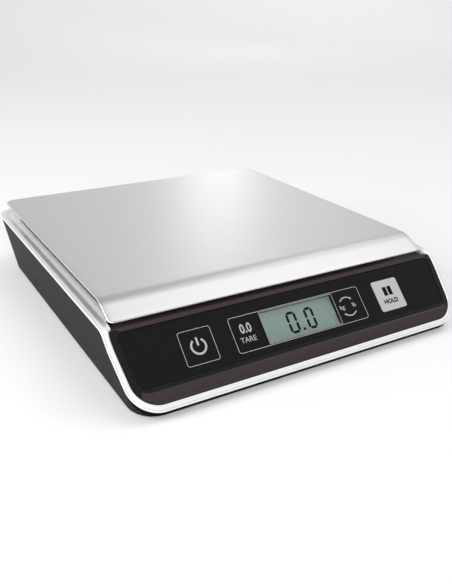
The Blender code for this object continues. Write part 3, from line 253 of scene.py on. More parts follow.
def sheet(along, half, columns, thickness, edge, place):
    """A sheet whose outline has half-width half at each distance along, with a round rim.

    Its two faces are grids, drawn in from the outline by edge. The rim is a half round: at
    angle t it stands edge * sin t out of the faces' border, at height thickness * (cos t) / 2.
    """
    u = np.linspace(-1, 1, columns)
    x = half[:, None] * u
    a = np.broadcast_to(along[:, None], x.shape)
    rows = len(along)
    ring = np.concatenate(
        [
            np.arange(columns),
            np.arange(1, rows) * columns + columns - 1,
            (rows - 1) * columns + np.arange(columns - 2, -1, -1),
            np.arange(rows - 2, 0, -1) * columns,
        ]
    )
    flat = np.stack([x.ravel(), a.ravel()], -1)
    border = flat[ring]
    tangent = np.roll(border, -1, 0) - np.roll(border, 1, 0)
    outward = np.stack([tangent[:, 1], -tangent[:, 0]], -1)
    outward /= np.linalg.norm(outward, axis=1, keepdims=True)
    outward *= np.sign(((border - border.mean(0)) * outward).sum())
    t = np.linspace(0, math.pi, 9)[1:-1]
    rim = border[None] + outward[None] * (edge * np.sin(t))[:, None, None]
    rim_lift = np.broadcast_to(((np.cos(t) - 1) * thickness / 2)[:, None], rim.shape[:2])
    count = rows * columns
    xs = np.concatenate([flat[:, 0], flat[:, 0], rim[..., 0].ravel()])
    alongs = np.concatenate([flat[:, 1], flat[:, 1], rim[..., 1].ravel()])
    lifts = np.concatenate([np.zeros(count), np.full(count, -thickness), rim_lift.ravel()])
    quads = grid_faces(rows, columns)
    levels = [ring, *(2 * count + len(ring) * k + np.arange(len(ring)) for k in range(7))]
    levels.append(ring + count)
    faces = [quads[:, ::-1], quads + count]
    for upper, lower in zip(levels, levels[1:]):
        strip = [upper, np.roll(upper, -1), np.roll(lower, -1), lower]
        faces.append(np.stack(strip, -1))
    return place(xs, alongs, lifts), np.concatenate(faces)


def outward_faces(obj):
    """Turns an object's faces so that they point out of it."""
    bm = bmesh.new()
    bm.from_mesh(obj.data)
    bmesh.ops.recalc_face_normals(bm, faces=bm.faces)
    bm.to_mesh(obj.data)
    bm.free()
    return obj


def rounded_half(along, half, length, back_radius, front_radius):
    """Half-width of a sheet with round corners: half less each corner's arc."""
    back = np.clip(back_radius - along, 0, back_radius)
    front = np.clip(front_radius - (length - along), 0, front_radius)
    back_cut = back_radius - np.sqrt(back_radius**2 - back**2)
    front_cut = front_radius - np.sqrt(front_radius**2 - front**2)
    return half - back_cut - front_cut


def corner_rows(length, back_radius, front_radius, inner):
    """Distances along a sheet: close together in its round corners, and inner between them."""
    t = np.linspace(0, math.pi / 2, 13)
    back = back_radius * (1 - np.cos(t))
    front = length - front_radius * (1 - np.cos(t[::-1]))
    inner = inner[(inner > back_radius) & (inner < length - front_radius)]
    return np.concatenate([back, inner, front])


plate_edge = 0.5 * MM
plate_back_corner, plate_front_corner = 7.5 * MM, 2.5 * MM
inner_length = plate_length - 2 * plate_edge
plate_inner = np.concatenate(
    [
        np.linspace(10 * MM, plate_flat - 2 * MM, 40),
        np.linspace(plate_flat - 1 * MM, plate_length, 60),
    ]
)
plate_rows = corner_rows(inner_length, plate_back_corner, plate_front_corner, plate_inner)
plate_halves = rounded_half(
    plate_rows, plate_half - plate_edge, inner_length, plate_back_corner, plate_front_corner
)


def grained(material, scale, roughness, depth, stretch=(1, 1, 1), detail=3):
    """Noise in a material: its roughness goes from one value to the other, and it is dented.

    Both follow the same noise, of scale cells a metre, stretched along each axis by stretch.
    """
    nodes, links = material.node_tree.nodes, material.node_tree.links
    shader = nodes["Principled BSDF"]
    where = nodes.new("ShaderNodeTexCoord")
    mapping = nodes.new("ShaderNodeMapping")
    mapping.inputs["Scale"].default_value = stretch
    noise = nodes.new("ShaderNodeTexNoise")
    noise.inputs["Scale"].default_value = scale
    noise.inputs["Detail"].default_value = detail
    spread = nodes.new("ShaderNodeMapRange")
    spread.inputs["From Min"].default_value = 0.3
    spread.inputs["From Max"].default_value = 0.7
    spread.inputs["To Min"].default_value = roughness[0]
    spread.inputs["To Max"].default_value = roughness[1]
    dents = nodes.new("ShaderNodeBump")
    dents.inputs["Distance"].default_value = depth
    links.new(where.outputs["Object"], mapping.inputs["Vector"])
    links.new(mapping.outputs["Vector"], noise.inputs["Vector"])
    links.new(noise.outputs["Fac"], spread.inputs["Value"])
    links.new(spread.outputs["Result"], shader.inputs["Roughness"])
    links.new(noise.outputs["Fac"], dents.inputs["Height"])
    links.new(dents.outputs["Normal"], shader.inputs["Normal"])


steel = plain_material("satin_steel", (0.66, 0.655, 0.64), 0.3, 1.0)
grained(steel, 1400, (0.36, 0.41), 0.0008 * MM, (0.03, 1, 1))
# The rim's steel is lighter than the sheet's as a painted highlight, and a little smoother.
rim_painted_highlight_steel = plain_material("rim_steel_painted_highlight", (0.86, 0.86, 0.85), 0.3, 1.0)
grained(rim_painted_highlight_steel, 1500, (0.28, 0.34), 0.001 * MM)
plate_columns = 61
plate_points, plate_faces = sheet(
    plate_rows + plate_edge, plate_halves, plate_columns, plate_thick, plate_edge, on_plate
)
platform = outward_faces(piece("steel_platform", plate_points, plate_faces, steel))
platform.data.materials.append(rim_painted_highlight_steel)
face_quads = 2 * (len(plate_rows) - 1) * (plate_columns - 1)
rim_faces = np.arange(len(plate_faces)) >= face_quads
platform.data.polygons.foreach_set("material_index", rim_faces.astype(np.int32))
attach(platform, "platform")
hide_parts("platform_plate")


# ------------------------------------------------------------------ silver casing ring
# The upper casing is one moulding in silver paint. A thin bead runs round its outer edge,
# then a band and a shallow valley under the platform. The two arms go on down the panel.

ring_low, ring_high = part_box("upper_casing")
overlay_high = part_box("control_overlay")[1]
panel_angle, front_lean = math.radians(45), math.radians(27)
side_draft = math.tan(math.radians(8))
overlay_start, overlay_sink, overlay_thick = 3.4 * MM, 0.2 * MM, 0.8 * MM
half_turn = math.sqrt(0.5)
crease = Vector(
    (
        0,
        overlay_high.y + (overlay_start - overlay_sink - overlay_thick) * half_turn,
        overlay_high.z + (overlay_start + overlay_sink) * half_turn,
    )
)
crest_rise = ring_high.z - crease.z
crest_bend = 8.8 * MM
crest_turn = crest_bend * math.tan(panel_angle / 2)
crest_crease_y = crease.y - crest_rise * math.tan(panel_angle / 2)
crest_level = ring_high.y - crest_crease_y - crest_turn
crest_slope = (crest_crease_y - ring_low.y) / half_turn - crest_turn
crest_runs = [
    (crest_level, 0),
    (crest_bend * panel_angle, panel_angle),
    (crest_slope, 0),
]
crest_length = sum(length for length, turn in crest_runs)


def smooth_step(value, low, high):
    """0 below low, 1 above high, and a smooth rise between."""
    t = np.clip((value - low) / (high - low), 0, 1)
    return t * t * (3 - 2 * t)


def on_casing(x, along, drop):
    """A point drop under the crest line, at a distance along it from the back.

    Down is straight down over the level deck and leans back by front_lean over the slope.
    """
    point, normal = bent_line(along.ravel(), crest_runs, (ring_high.y, ring_high.z))
    lean = smooth_step(along.ravel(), crest_level - 5 * MM, crest_level + 12 * MM)
    lean *= front_lean
    down = np.stack([np.sin(lean), -np.cos(lean)], -1)
    yz = point + down * drop.reshape(-1, 1)
    return np.concatenate([x.reshape(-1, 1), yz], 1).reshape(*x.shape, 3)


trim_flare = 0.8 * MM


def casing_outline(back_radius, front_radius, breaks):
    """The ring's outer line in (x, along), once round, with extra points at breaks.

    x is the half-width less its draft, ring half - (crest - z) * tan(draft), plus the trim's
    flare beside the panel, and each corner takes off radius * (1 - cos t).
    """
    t = np.linspace(0, math.pi / 2, 17)
    side = np.unique(
        np.concatenate(
            [
                np.linspace(back_radius, crest_level - 30 * MM, 12),
                np.linspace(crest_level - 30 * MM, crest_level + 20 * MM, 60),
                np.linspace(crest_level + 20 * MM, crest_length - front_radius, 12),
                breaks,
            ]
        )
    )
    along = np.concatenate(
        [
            back_radius * (1 - np.sin(t[::-1])),
            side[1:-1],
            crest_length - front_radius * (1 - np.sin(t)),
        ]
    )
    cut = np.concatenate(
        [
            back_radius * (1 - np.cos(t[::-1])),
            np.zeros(len(side) - 2),
            front_radius * (1 - np.cos(t)),
        ]
    )
    z = bent_line(along, crest_runs, (ring_high.y, ring_high.z))[0][:, 1]
    half = ring_high.x - (ring_high.z - z) * side_draft
    half = half + trim_flare * smooth_step(along, crest_level, crest_level + 18 * MM)
    right = np.stack([half - cut, along], -1)
    left = (right * (-1, 1))[::-1]
    front_x = np.linspace(right[-1, 0], left[0, 0], 12)[1:-1]
    back_x = np.linspace(left[-1, 0], right[0, 0], 12)[1:-1]
    front = np.stack([front_x, np.full(10, crest_length)], -1)
    back = np.stack([back_x, np.zeros(10)], -1)
    return np.concatenate([right, front, left, back])


back_corner, front_corner = 16 * MM, 15 * MM
arm_end = crest_level + crest_turn - 0.2 * MM
arm_step = 0.02 * MM
outline = casing_outline(back_corner, front_corner, [arm_end - arm_step, arm_end + arm_step])
tangent = np.roll(outline, -1, 0) - np.roll(outline, 1, 0)
inward = np.stack([tangent[:, 1], -tangent[:, 0]], -1)
inward /= np.linalg.norm(inward, axis=1, keepdims=True)
inward *= -np.sign(((outline - outline.mean(0)) * inward).sum())

# Each profile point is (distance in from the outer edge, drop under the crest), in mm. Both
# go once round from under the bead. The first has the valley, the second the narrow trim.
deck_profile = np.array(
    [
        (0.9, 2.5), (0.42, 2.45), (0.16, 1.9), (0.05, 1.45), (0.0, 1.1), (0.07, 0.75),
        (0.28, 0.45), (0.6, 0.32), (0.92, 0.42), (1.1, 0.7), (1.25, 0.62), (1.6, 0.45),
        (2.4, 0.5), (3.4, 0.8), (4.5, 1.35), (5.4, 1.7), (6.2, 1.62), (7.2, 1.25),
        (8.3, 0.95), (9.05, 0.85), (9.7, 0.8), (9.7, 2.4), (8.0, 2.8), (5.4, 3.0), (2.4, 2.8),
    ]
)
trim_profile = np.array(
    [
        (1.5, 5.5), (0.9, 3.2), (0.35, 2.6), (0.08, 2.2), (0.0, 1.8), (0.06, 1.5),
        (0.26, 1.26), (0.5, 1.2), (0.74, 1.35), (0.88, 1.75), (0.98, 1.1), (1.15, 0.5),
        (1.5, 0.14), (1.95, 0.0), (2.4, 0.06), (2.7, 0.25), (2.85, 0.55), (2.9, 0.9),
        (2.93, 1.3), (2.95, 1.7), (2.97, 2.3), (2.97, 2.7), (2.8, 3.0), (2.3, 3.3), (1.9, 4.2),
    ]
)
bent = smooth_step(outline[:, 1], crest_level - 8 * MM, crest_level + 10 * MM)[:, None, None]
shape = (deck_profile * (1 - bent) + trim_profile * bent) * MM
deck_width = 9.7 * MM
arm_width = np.interp(
    outline[:, 1],
    [arm_end - 15 * MM, arm_end - 7 * MM, arm_end],
    [deck_width, 5.6 * MM, 5.2 * MM],
)
profile_row = np.arange(len(deck_profile))
in_valley, inner_edge, undercut = profile_row >= 13, (20, 21), (0, 1, 24)
deck_x = np.where(in_valley, deck_profile[:, 0] * MM, shape[..., 0])
deck_x = np.minimum(deck_x, arm_width[:, None])
deck_drop = np.where(in_valley, deck_profile[:, 1] * MM, shape[..., 1])
on_deck = (outline[:, 1] < arm_end)[:, None]
ring_x = np.where(on_deck, deck_x, shape[..., 0])
ring_drop = np.where(on_deck, deck_drop, shape[..., 1])
slope_z = bent_line(outline[:, 1], crest_runs, (ring_high.y, ring_high.z))[0][:, 1]
bead_drop = 2.9 * MM
deepest = (slope_z - ring_low.z) / math.cos(front_lean)
ring_drop = np.minimum(ring_drop, np.maximum(deepest, bead_drop)[:, None])

# At the back the deck goes on inwards, as far as the opening over the weighing mechanism.
deck_back = 29.5 * MM
behind = (outline[:, 1] < deck_back + 8 * MM)[:, None]
inner_place = np.stack(
    [
        np.clip(outline[:, 0], deck_width - ring_high.x, ring_high.x - deck_width),
        np.maximum(outline[:, 1], deck_back + 0.01 * outline[:, 1]),
    ],
    -1,
)
silver = plain_material("silver_paint", (0.84, 0.845, 0.84), 0.34, 0.35)
grained(silver, 3500, (0.3, 0.38), 0.003 * MM)
ring_across = outline[:, None, 0] + inward[:, None, 0] * ring_x
ring_along = outline[:, None, 1] + inward[:, None, 1] * ring_x
far_in = np.isin(profile_row, inner_edge)[None] & behind
ring_across = np.where(far_in, inner_place[:, :1], ring_across)
ring_along = np.where(far_in, np.maximum(ring_along, inner_place[:, 1:]), ring_along)
ring_points = on_casing(ring_across, ring_along, ring_drop)
ring_faces = grid_faces(*ring_points.shape[:2], close_rows=True, close_columns=True)
ring = outward_faces(piece("silver_ring", ring_points, ring_faces, silver, 50))
# Beside the panel the wall under the bead takes the base's black, made a little darker than the
# base as painted shade.
under_bead = np.tile(np.isin(profile_row, undercut), len(outline))
beside_panel = np.repeat(outline[:, 1] > crest_level + 4 * MM, len(deck_profile))
black_under_bead_and_shade = plain_material("undercut_black_and_shade", (0.0068, 0.0056, 0.0064), 0.55, 0, 0.06)
grained(black_under_bead_and_shade, 2600, (0.5, 0.65), 0.012 * MM)
ring.data.materials.append(black_under_bead_and_shade)
ring.data.polygons.foreach_set("material_index", (under_bead & beside_panel).astype(np.int32))
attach(ring, "casing")
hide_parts("upper_casing")


# ------------------------------------------------------------------ black base
# The lower casing is a drafted tub in black ABS with a fine spark-eroded texture. It is
# screwed up to the silver moulding from below.

black = plain_material("black_abs", (0.0088, 0.0064, 0.0082), 0.5, 0, 0.08)
grained(black, 2600, (0.45, 0.6), 0.012 * MM)
bodies = frame["record"]["behaviour"]["bodies"]


def finished_copy(node, material, bevel=0.0, smooth_under=30, rides=True):
    """Stands for a CAD piece: its points merged, its curves smooth and its edges broken.

    It rides on the CAD piece's body, unless it is a piece that bends between two bodies.
    """
    mesh = frame["nodes"][node].data.copy()
    bm = bmesh.new()
    bm.from_mesh(mesh)
    bmesh.ops.remove_doubles(bm, verts=bm.verts, dist=1e-6)
    if bevel:
        bmesh.ops.dissolve_limit(bm, angle_limit=0.01, verts=bm.verts, edges=bm.edges)
    bm.to_mesh(mesh)
    bm.free()
    mesh.materials.clear()
    mesh.materials.append(material)
    mesh.shade_smooth()
    mesh.set_sharp_from_angle(angle=math.radians(smooth_under))
    obj = bpy.data.objects.new(node + "_finished", mesh)
    bpy.context.scene.collection.objects.link(obj)
    if bevel:
        modifier = obj.modifiers.new("broken edges", "BEVEL")
        modifier.width = bevel
        modifier.segments = 2
        modifier.limit_method = "ANGLE"
        modifier.angle_limit = math.radians(35)
        modifier.harden_normals = True
    if rides:
        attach(obj, next(body for body, parts in bodies.items() if node in parts))
    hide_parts(node)
    return obj


def dressed(material, *names):
    """Gives CAD pieces their finish."""
    for name in names:
        mesh = frame["nodes"][name].data
        mesh.materials.clear()
        mesh.materials.append(material)


finished_copy("lower_casing", black, 0.35 * MM)


# ------------------------------------------------------------------ front bezel
# A black bezel closes the panel inside the silver trim. Its shelf under the platform's lip
# and its chin have a fine texture, and their black is lightened and tinted purple as a
# painted reflection of the floor. The strip beside the control panel is polished.

polished = plain_material("polished_abs", (0.007, 0.0065, 0.0065), 0.16, 0, 0.35)
grained(polished, 1500, (0.12, 0.2), 0.001 * MM)
# Lighter and more purple than the black plastic: a painted reflection of the pale floor on the
# grained black.
textured_painted_reflection = plain_material("textured_abs_painted_reflection", (0.036, 0.024, 0.0285), 0.5, 0, 0.22)
grained(textured_painted_reflection, 3000, (0.45, 0.6), 0.01 * MM)
finished_copy("front_bezel", textured_painted_reflection)
overlay_end = 32.7 * MM
bezel_gap = 0.15 * MM


def on_panel(x, along, lift):
    """A point at x across, along down from the crease and lift above the panel plane."""
    y = crease.y - along * half_turn - lift * half_turn
    z = crease.z - along * half_turn + lift * half_turn
    return np.stack([x, y, z], -1)


def panel_side(along, from_trim):
    """Half-width of the panel, less from_trim: each side leans in at its draft."""
    half = ring_high.x - (ring_high.z - crease.z + along * half_turn) * side_draft
    return half - from_trim


def rounded_quad(corners, radius, steps=9):
    """The outline through four corners in order, each rounded by an arc of its radius.

    An arc's centre lies on the corner's bisector, and its points are centre + radius *
    (cos t, sin t) with t from one edge's normal to the next one's.
    """
    corners = np.asarray(corners, float)
    before = corners - np.roll(corners, 1, 0)
    after = np.roll(corners, -1, 0) - corners
    before /= np.linalg.norm(before, axis=1, keepdims=True)
    after /= np.linalg.norm(after, axis=1, keepdims=True)
    half = np.arccos((before * after).sum(1)) / 2
    reach = np.asarray(radius) / np.cos(half) / 2 / np.sin(half)
    centre = corners + (after - before) * reach[:, None]
    start = np.arctan2(-before[:, 0], before[:, 1])
    t = start[:, None] + np.linspace(0, 1, steps) * 2 * half[:, None]
    turn = np.stack([np.cos(t), np.sin(t)], -1)
    return (centre[:, None] + turn * np.asarray(radius)[:, None, None]).reshape(-1, 2)


def panel_loop(top, bottom, from_trim, radius, steps=9):
    """A rounded outline on the panel between two distances down it, inside the trim."""
    high, low = panel_side(top, from_trim), panel_side(bottom, from_trim)
    corners = [(-high, top), (high, top), (low, bottom), (-low, bottom)]
    return rounded_quad(corners, radius, steps)


surround_top, surround_bottom = 0.9 * MM, 40.2 * MM
side_strip, under_trim = 5.9 * MM, 2.5 * MM
well_corner, top_corner, chin_corner = 3.6 * MM, 4 * MM, 11.5 * MM
steps_round = 13
inner_loop = panel_loop(
    overlay_start - bezel_gap,
    overlay_end + bezel_gap,
    side_strip - bezel_gap,
    [well_corner] * 4,
    steps_round,
)
outer_loop = panel_loop(
    surround_top,
    surround_bottom,
    under_trim - trim_flare,
    [top_corner, top_corner, chin_corner, chin_corner],
    steps_round,
)

# The surround goes from the side strips' section to the chin's in its two lower corners.
# across is the share of the way out from the well, and each lift is in mm.
corner_of = np.repeat(np.arange(4), steps_round)
part_of = np.tile(np.linspace(0, 1, steps_round), 4)
into_chin, out_of_chin = smooth_step(part_of, 0.42, 0.5), smooth_step(part_of, 0.58, 0.5)
bottom_share = np.select([corner_of == 2, corner_of == 3], [into_chin, out_of_chin], 0.0)
across = np.array([0.0, 0.0, 0.08, 0.14, 0.2, 0.26, 0.3, 0.36, 0.4, 0.6, 0.95, 1.0, 1.0])
side_lift = np.array([-0.9, 0.12, 0.2, 0.2, 0.16, 0.14, 0.12, 0.1, 0.1, 0.08, 0.06, 0.0, -0.9])
chin_lift = np.array([-0.9, 0.12, 0.2, 0.16, 0.06, 0.06, 0.1, 0.2, 0.26, 0.3, 0.24, 0.0, -0.9])
lift = side_lift[None] + (chin_lift - side_lift)[None] * bottom_share[:, None]
loops = inner_loop[:, None] + (outer_loop - inner_loop)[:, None] * across[None, :, None]
surround_points = on_panel(loops[..., 0], loops[..., 1], lift * MM)
surround_faces = grid_faces(*surround_points.shape[:2], close_rows=True, close_columns=True)
surround = outward_faces(piece("bezel_surround", surround_points, surround_faces, polished, 25))
# The chin and the band along the top take the lightened, purplish black of the painted reflection.
surround.data.materials.append(textured_painted_reflection)
columns_of = np.tile(np.arange(len(across)), 4 * steps_round)
rows_of = np.repeat(np.arange(4 * steps_round), len(across))
on_chin = (bottom_share[rows_of] > 0.5) & (np.roll(bottom_share, -1)[rows_of] > 0.5)
on_chin &= (columns_of >= 7) & (columns_of <= 9)
at_top = (corner_of[rows_of] == 0) & (part_of[rows_of] == 1)
on_top = at_top & (columns_of >= 3) & (columns_of <= 9)
surround.data.polygons.foreach_set("material_index", (on_chin | on_top).astype(np.int32))
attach(surround, "casing")


# ------------------------------------------------------------------ control panel
# A back-printed glossy sheet covers the electronics. Its four keys are caps in the same
# gloss, one of them silver, and every legend is a thin print.

gloss = plain_material("gloss_black", (0.0045, 0.004, 0.004), 0.07, 0, 0.3)
grained(gloss, 60, (0.05, 0.09), 0.0, detail=1)
ink = plain_material("grey_ink", (0.42, 0.41, 0.41), 0.5, 0, 0.2)
grained(ink, 4000, (0.4, 0.5), 0.001 * MM)
dark_ink = plain_material("black_ink", (0.004, 0.004, 0.004), 0.6, 0, 0.1)
grained(dark_ink, 4000, (0.55, 0.7), 0.001 * MM)
key_paint = plain_material("key_silver", (0.52, 0.52, 0.51), 0.4, 0.3)
grained(key_paint, 3500, (0.36, 0.46), 0.004 * MM)
overlay_face = -overlay_sink
print_top, print_foot = 0.03 * MM, -0.02 * MM
finished_copy("control_overlay", gloss, 0.12 * MM)
for name in ("key_power", "key_tare", "key_units"):
    finished_copy(name, gloss, 0.2 * MM)
finished_copy("key_hold", key_paint, 0.25 * MM)


def prism_faces(count, sides, start=0):
    """Faces of count prisms, stored as rings of their upper and then their lower corners."""
    first = np.arange(count)[:, None] * 2 * sides + start
    corner = np.arange(sides)
    upper = (first + corner).tolist()
    lower = (first + sides + corner[::-1]).tolist()
    after = np.roll(corner, -1)
    walls = np.stack(
        [
            first + after,
            first + corner,
            first + sides + corner,
            first + sides + after,
        ],
        -1,
    )
    return upper + lower + walls.reshape(-1, 4).tolist()


def printed_tiles(outlines, face):
    """Flat prints from an array of polygons in (x, along): prisms that stand in the face.

    Their upper corners lie at face + print_top and their lower ones at face + print_foot.
    """
    outlines = np.asarray(outlines, float)
    count, sides = outlines.shape[:2]
    lift = np.array([face + print_top, face + print_foot])[None, :, None]
    lift = np.broadcast_to(lift, (count, 2, sides))
    x = np.broadcast_to(outlines[:, None, :, 0], lift.shape)
    along = np.broadcast_to(outlines[:, None, :, 1], lift.shape)
    return on_panel(x, along, lift).reshape(-1, 3), prism_faces(count, sides)


def printed_line(path, width, face, closed=True):
    """A printed line along a path in (x, along), half its width out on either side.

    The offset at a point is at right angles to the line through its two neighbours.
    """
    path = np.asarray(path, float)
    ahead = np.roll(path, -1, 0) - np.roll(path, 1, 0)
    if not closed:
        ahead[0], ahead[-1] = path[1] - path[0], path[-1] - path[-2]
    out = np.stack([ahead[:, 1], -ahead[:, 0]], -1)
    out *= width / 2 / np.linalg.norm(out, axis=1, keepdims=True)
    rings = np.stack([path + out, path - out, path - out, path + out], 1)
    lift = face + np.array([print_top, print_top, print_foot, print_foot])
    lift = np.broadcast_to(lift, rings.shape[:2])
    points = on_panel(rings[..., 0], rings[..., 1], lift)
    faces = grid_faces(len(path), 4, closed, True).tolist()
    if not closed:
        last = 4 * (len(path) - 1)
        faces += [[0, 1, 2, 3], [last + 3, last + 2, last + 1, last]]
    return points.reshape(-1, 3), faces


def arc(centre, radius, start, end, steps=24):
    """Points on a circle: centre + radius * (sin t, -cos t), with t clockwise from the top."""
    t = np.radians(np.linspace(start, end, steps))
    return np.stack([centre[0] + radius * np.sin(t), centre[1] - radius * np.cos(t)], -1)


def print_of(name, parts, material, body):
    """One print from several closed shapes, riding on a body."""
    points, faces, start = [], [], 0
    for shape_points, shape_faces in parts:
        points.append(shape_points)
        faces += [[corner + start for corner in face] for face in shape_faces]
        start += len(shape_points)
    made = outward_faces(piece(name, np.concatenate(points), faces, material, 30))
    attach(made, body)
    return made


def legend(text, middle, height, face, weight=0.0, spread=1.0):
    """Lettering on the panel: its middle at (x, along), with capitals of this height.

    The letters' mesh is made flat at the origin, then each point goes to
    (middle + x * spread, middle - y) on the panel, at the print's two heights.
    """
    curve = bpy.data.curves.new("legend", "FONT")
    curve.body = text
    curve.size = height / 0.7
    curve.offset = weight
    curve.extrude = 0.5
    curve.resolution_u = 3
    letters = bpy.data.objects.new("legend", curve)
    bpy.context.scene.collection.objects.link(letters)
    bpy.context.view_layer.update()
    mesh = bpy.data.meshes.new_from_object(letters)
    bpy.data.objects.remove(letters)
    points = np.empty(len(mesh.vertices) * 3)
    mesh.vertices.foreach_get("co", points)
    points = points.reshape(-1, 3)
    faces = [list(polygon.vertices) for polygon in mesh.polygons]
    x = (points[:, 0] - (points[:, 0].min() + points[:, 0].max()) / 2) * spread
    y = points[:, 1] - (points[:, 1].min() + points[:, 1].max()) / 2
    lift = face + np.where(points[:, 2] > 0, print_top, print_foot)
    return on_panel(middle[0] + x, middle[1] - y, lift), faces


key_row = 19.5 * MM
power_x = -62.35 * MM
hold_x = 62.35 * MM
line = 0.27 * MM


def square_loop(x_low, x_high, top, bottom, radius):
    """A rounded rectangle on the panel."""
    corners = [(x_low, top), (x_high, top), (x_high, bottom), (x_low, bottom)]
    return rounded_quad(corners, [radius] * 4, 7)


cap_half, line_inset = 9.3 * MM, 0.3 * MM
key_half = cap_half - line_inset
power_loop = square_loop(
    power_x - key_half, power_x + key_half, key_row - key_half, key_row + key_half, 1.3 * MM
)
power_bar = np.array([(-0.55, -4.7), (0.55, -4.7), (0.55, -0.4), (-0.55, -0.4)]) * MM
print_of(
    "power_legend",
    [
        printed_line(power_loop, line, overlay_face),
        printed_line(arc((power_x, key_row), 3.95 * MM, 35, 325), 1.1 * MM, overlay_face, False),
        printed_tiles([power_bar + (power_x, key_row)], overlay_face),
    ],
    ink,
    "key_power",
)
print_of(
    "tare_legend",
    [
        legend("0.0", (-34.25 * MM, 16.75 * MM), 5.0 * MM, overlay_face, 0.14 * MM, 0.8),
        legend("TARE", (-34.7 * MM, 22.85 * MM), 2.9 * MM, overlay_face, 0.0, 0.97),
    ],
    ink,
    "key_tare",
)
swap_x, swap_row, swap_radius = 31.7 * MM, 19.95 * MM, 5.4 * MM


def arrow_head(angle, turn):
    """A triangle on the swap symbol's circle at an angle, pointing round it."""
    t = math.radians(angle)
    middle = np.array([swap_x + swap_radius * math.sin(t), swap_row - swap_radius * math.cos(t)])
    ahead = np.array([math.cos(t), math.sin(t)]) * turn
    out = np.array([math.sin(t), -math.cos(t)])
    return np.stack(
        [middle + ahead * 1.1 * MM, middle + out * 0.75 * MM, middle - out * 0.75 * MM]
    )


swap_line = 0.65 * MM
upper_arc = arc((swap_x, swap_row), swap_radius, -48, 38)
lower_arc = arc((swap_x, swap_row), swap_radius, 132, 218)
print_of(
    "units_legend",
    [
        printed_line(upper_arc, swap_line, overlay_face, False),
        printed_line(lower_arc, swap_line, overlay_face, False),
        printed_tiles([arrow_head(38, 1), arrow_head(218, 1)], overlay_face),
        legend("kg", (swap_x - 4.0 * MM, swap_row + 0.2 * MM), 2.5 * MM, overlay_face, 0.03 * MM),
        legend("lb", (swap_x + 4.3 * MM, swap_row - 0.2 * MM), 2.4 * MM, overlay_face, 0.03 * MM),
    ],
    ink,
    "key_units",
)
pause_bars = (
    np.array(
        [
            [(-3.2, -4.95), (-0.5, -4.95), (-0.5, 0.45), (-3.2, 0.45)],
            [(0.3, -4.95), (3.1, -4.95), (3.1, 0.45), (0.3, 0.45)],
        ]
    )
    * MM
)
print_of(
    "hold_legend",
    [
        printed_tiles(pause_bars + (hold_x, key_row), overlay_face),
        legend("HOLD", (hold_x - 0.3 * MM, key_row + 3.9 * MM), 2.6 * MM, overlay_face, 0.15 * MM),
    ],
    dark_ink,
    "key_hold",
)


# ------------------------------------------------------------------ display
# A grey-green liquid-crystal glass sits under a clear lens behind the panel. Its figures
# are seven-segment blocks, and a printed line frames it and the two keys beside it.

window_half, window_top, window_bottom = 23.7 * MM, 10.8 * MM, 28.2 * MM
frame_loop = square_loop(-42.4 * MM, 42.25 * MM, 9.9 * MM, 29.1 * MM, 1.5 * MM)
window_loop = square_loop(
    -window_half - 0.2 * MM,
    window_half + 0.2 * MM,
    window_top - 0.2 * MM,
    window_bottom + 0.2 * MM,
    0.3 * MM,
)
print_of(
    "display_outline",
    [
        printed_line(frame_loop, line, overlay_face),
        printed_line(window_loop, 0.22 * MM, overlay_face),
    ],
    ink,
    "casing",
)
lens = plain_material("clear_lens", (0.97, 0.98, 0.98), 0.03)
clear = lens.node_tree.nodes["Principled BSDF"].inputs
clear["Transmission Weight"].default_value = 1.0
clear["IOR"].default_value = 1.12
grained(lens, 80, (0.02, 0.04), 0.0, detail=1)
dressed(lens, "display_lens")
crystal = plain_material("display_grey", (0.25, 0.33, 0.29), 0.4, 0, 0.2)
grained(crystal, 1200, (0.32, 0.4), 0.001 * MM)
dressed(crystal, "lcd_glass")
crystal_face = -2.8 * MM
segment = 1.5 * MM


def figure(middle, width, height, lit):
    """The lit segments of one figure: hexagons, each cut to points at its two ends.

    A segment from p to q has corners p, p + s, q - s, q, q - s', p + s', where s steps half
    a stroke along it and half a stroke out.
    """
    w, h = width / 2 - segment / 2, height / 2 - segment / 2
    ends = {
        "top": ((-w, -h), (w, -h)),
        "upper_left": ((-w, -h), (-w, 0)),
        "upper_right": ((w, -h), (w, 0)),
        "lower_left": ((-w, 0), (-w, h)),
        "lower_right": ((w, 0), (w, h)),
        "bottom": ((-w, h), (w, h)),
    }
    start = np.array([ends[name][0] for name in lit])
    end = np.array([ends[name][1] for name in lit])
    along = (end - start) / np.linalg.norm(end - start, axis=1, keepdims=True)
    out = np.stack([-along[:, 1], along[:, 0]], -1)
    gap, step = 0.12 * MM, segment / 2
    p, q = start + along * gap, end - along * gap
    corners = [
        p,
        p + (along + out) * step,
        q + (out - along) * step,
        q,
        q - (out + along) * step,
        p + (along - out) * step,
    ]
    return np.stack(corners, 1) + middle


round_the_zero = ("top", "upper_left", "upper_right", "lower_left", "lower_right", "bottom")
figure_row, figure_height = 20 * MM, 12.4 * MM
first_figure = figure((-4.45 * MM, figure_row), 6.3 * MM, figure_height, round_the_zero)
second_figure = figure((7.1 * MM, figure_row), 5.9 * MM, figure_height, round_the_zero)
point_x, point_row = 1.1 * MM, 25.0 * MM
point = np.array([(-0.7, -0.7), (0.7, -0.7), (0.7, 0.7), (-0.7, 0.7)]) * MM
print_of(
    "display_figures",
    [
        printed_tiles(first_figure, crystal_face),
        printed_tiles(second_figure, crystal_face),
        printed_tiles([point + (point_x, point_row)], crystal_face),
    ],
    dark_ink,
    "casing",
)
frame_black = plain_material("frame_black", (0.01, 0.01, 0.01), 0.5)
grained(frame_black, 2500, (0.45, 0.6), 0.005 * MM)
connector = plain_material("connector_rubber", (0.02, 0.02, 0.022), 0.7)
grained(connector, 3000, (0.65, 0.8), 0.005 * MM, (0.1, 1, 1))
dressed(frame_black, "lcd_frame")
dressed(connector, "lcd_connector_strip")


# ------------------------------------------------------------------ electronics
# Behind the panel, a fibreglass board carries the controller and four push switches. It is
# held on two posts by small zinc-plated screws.

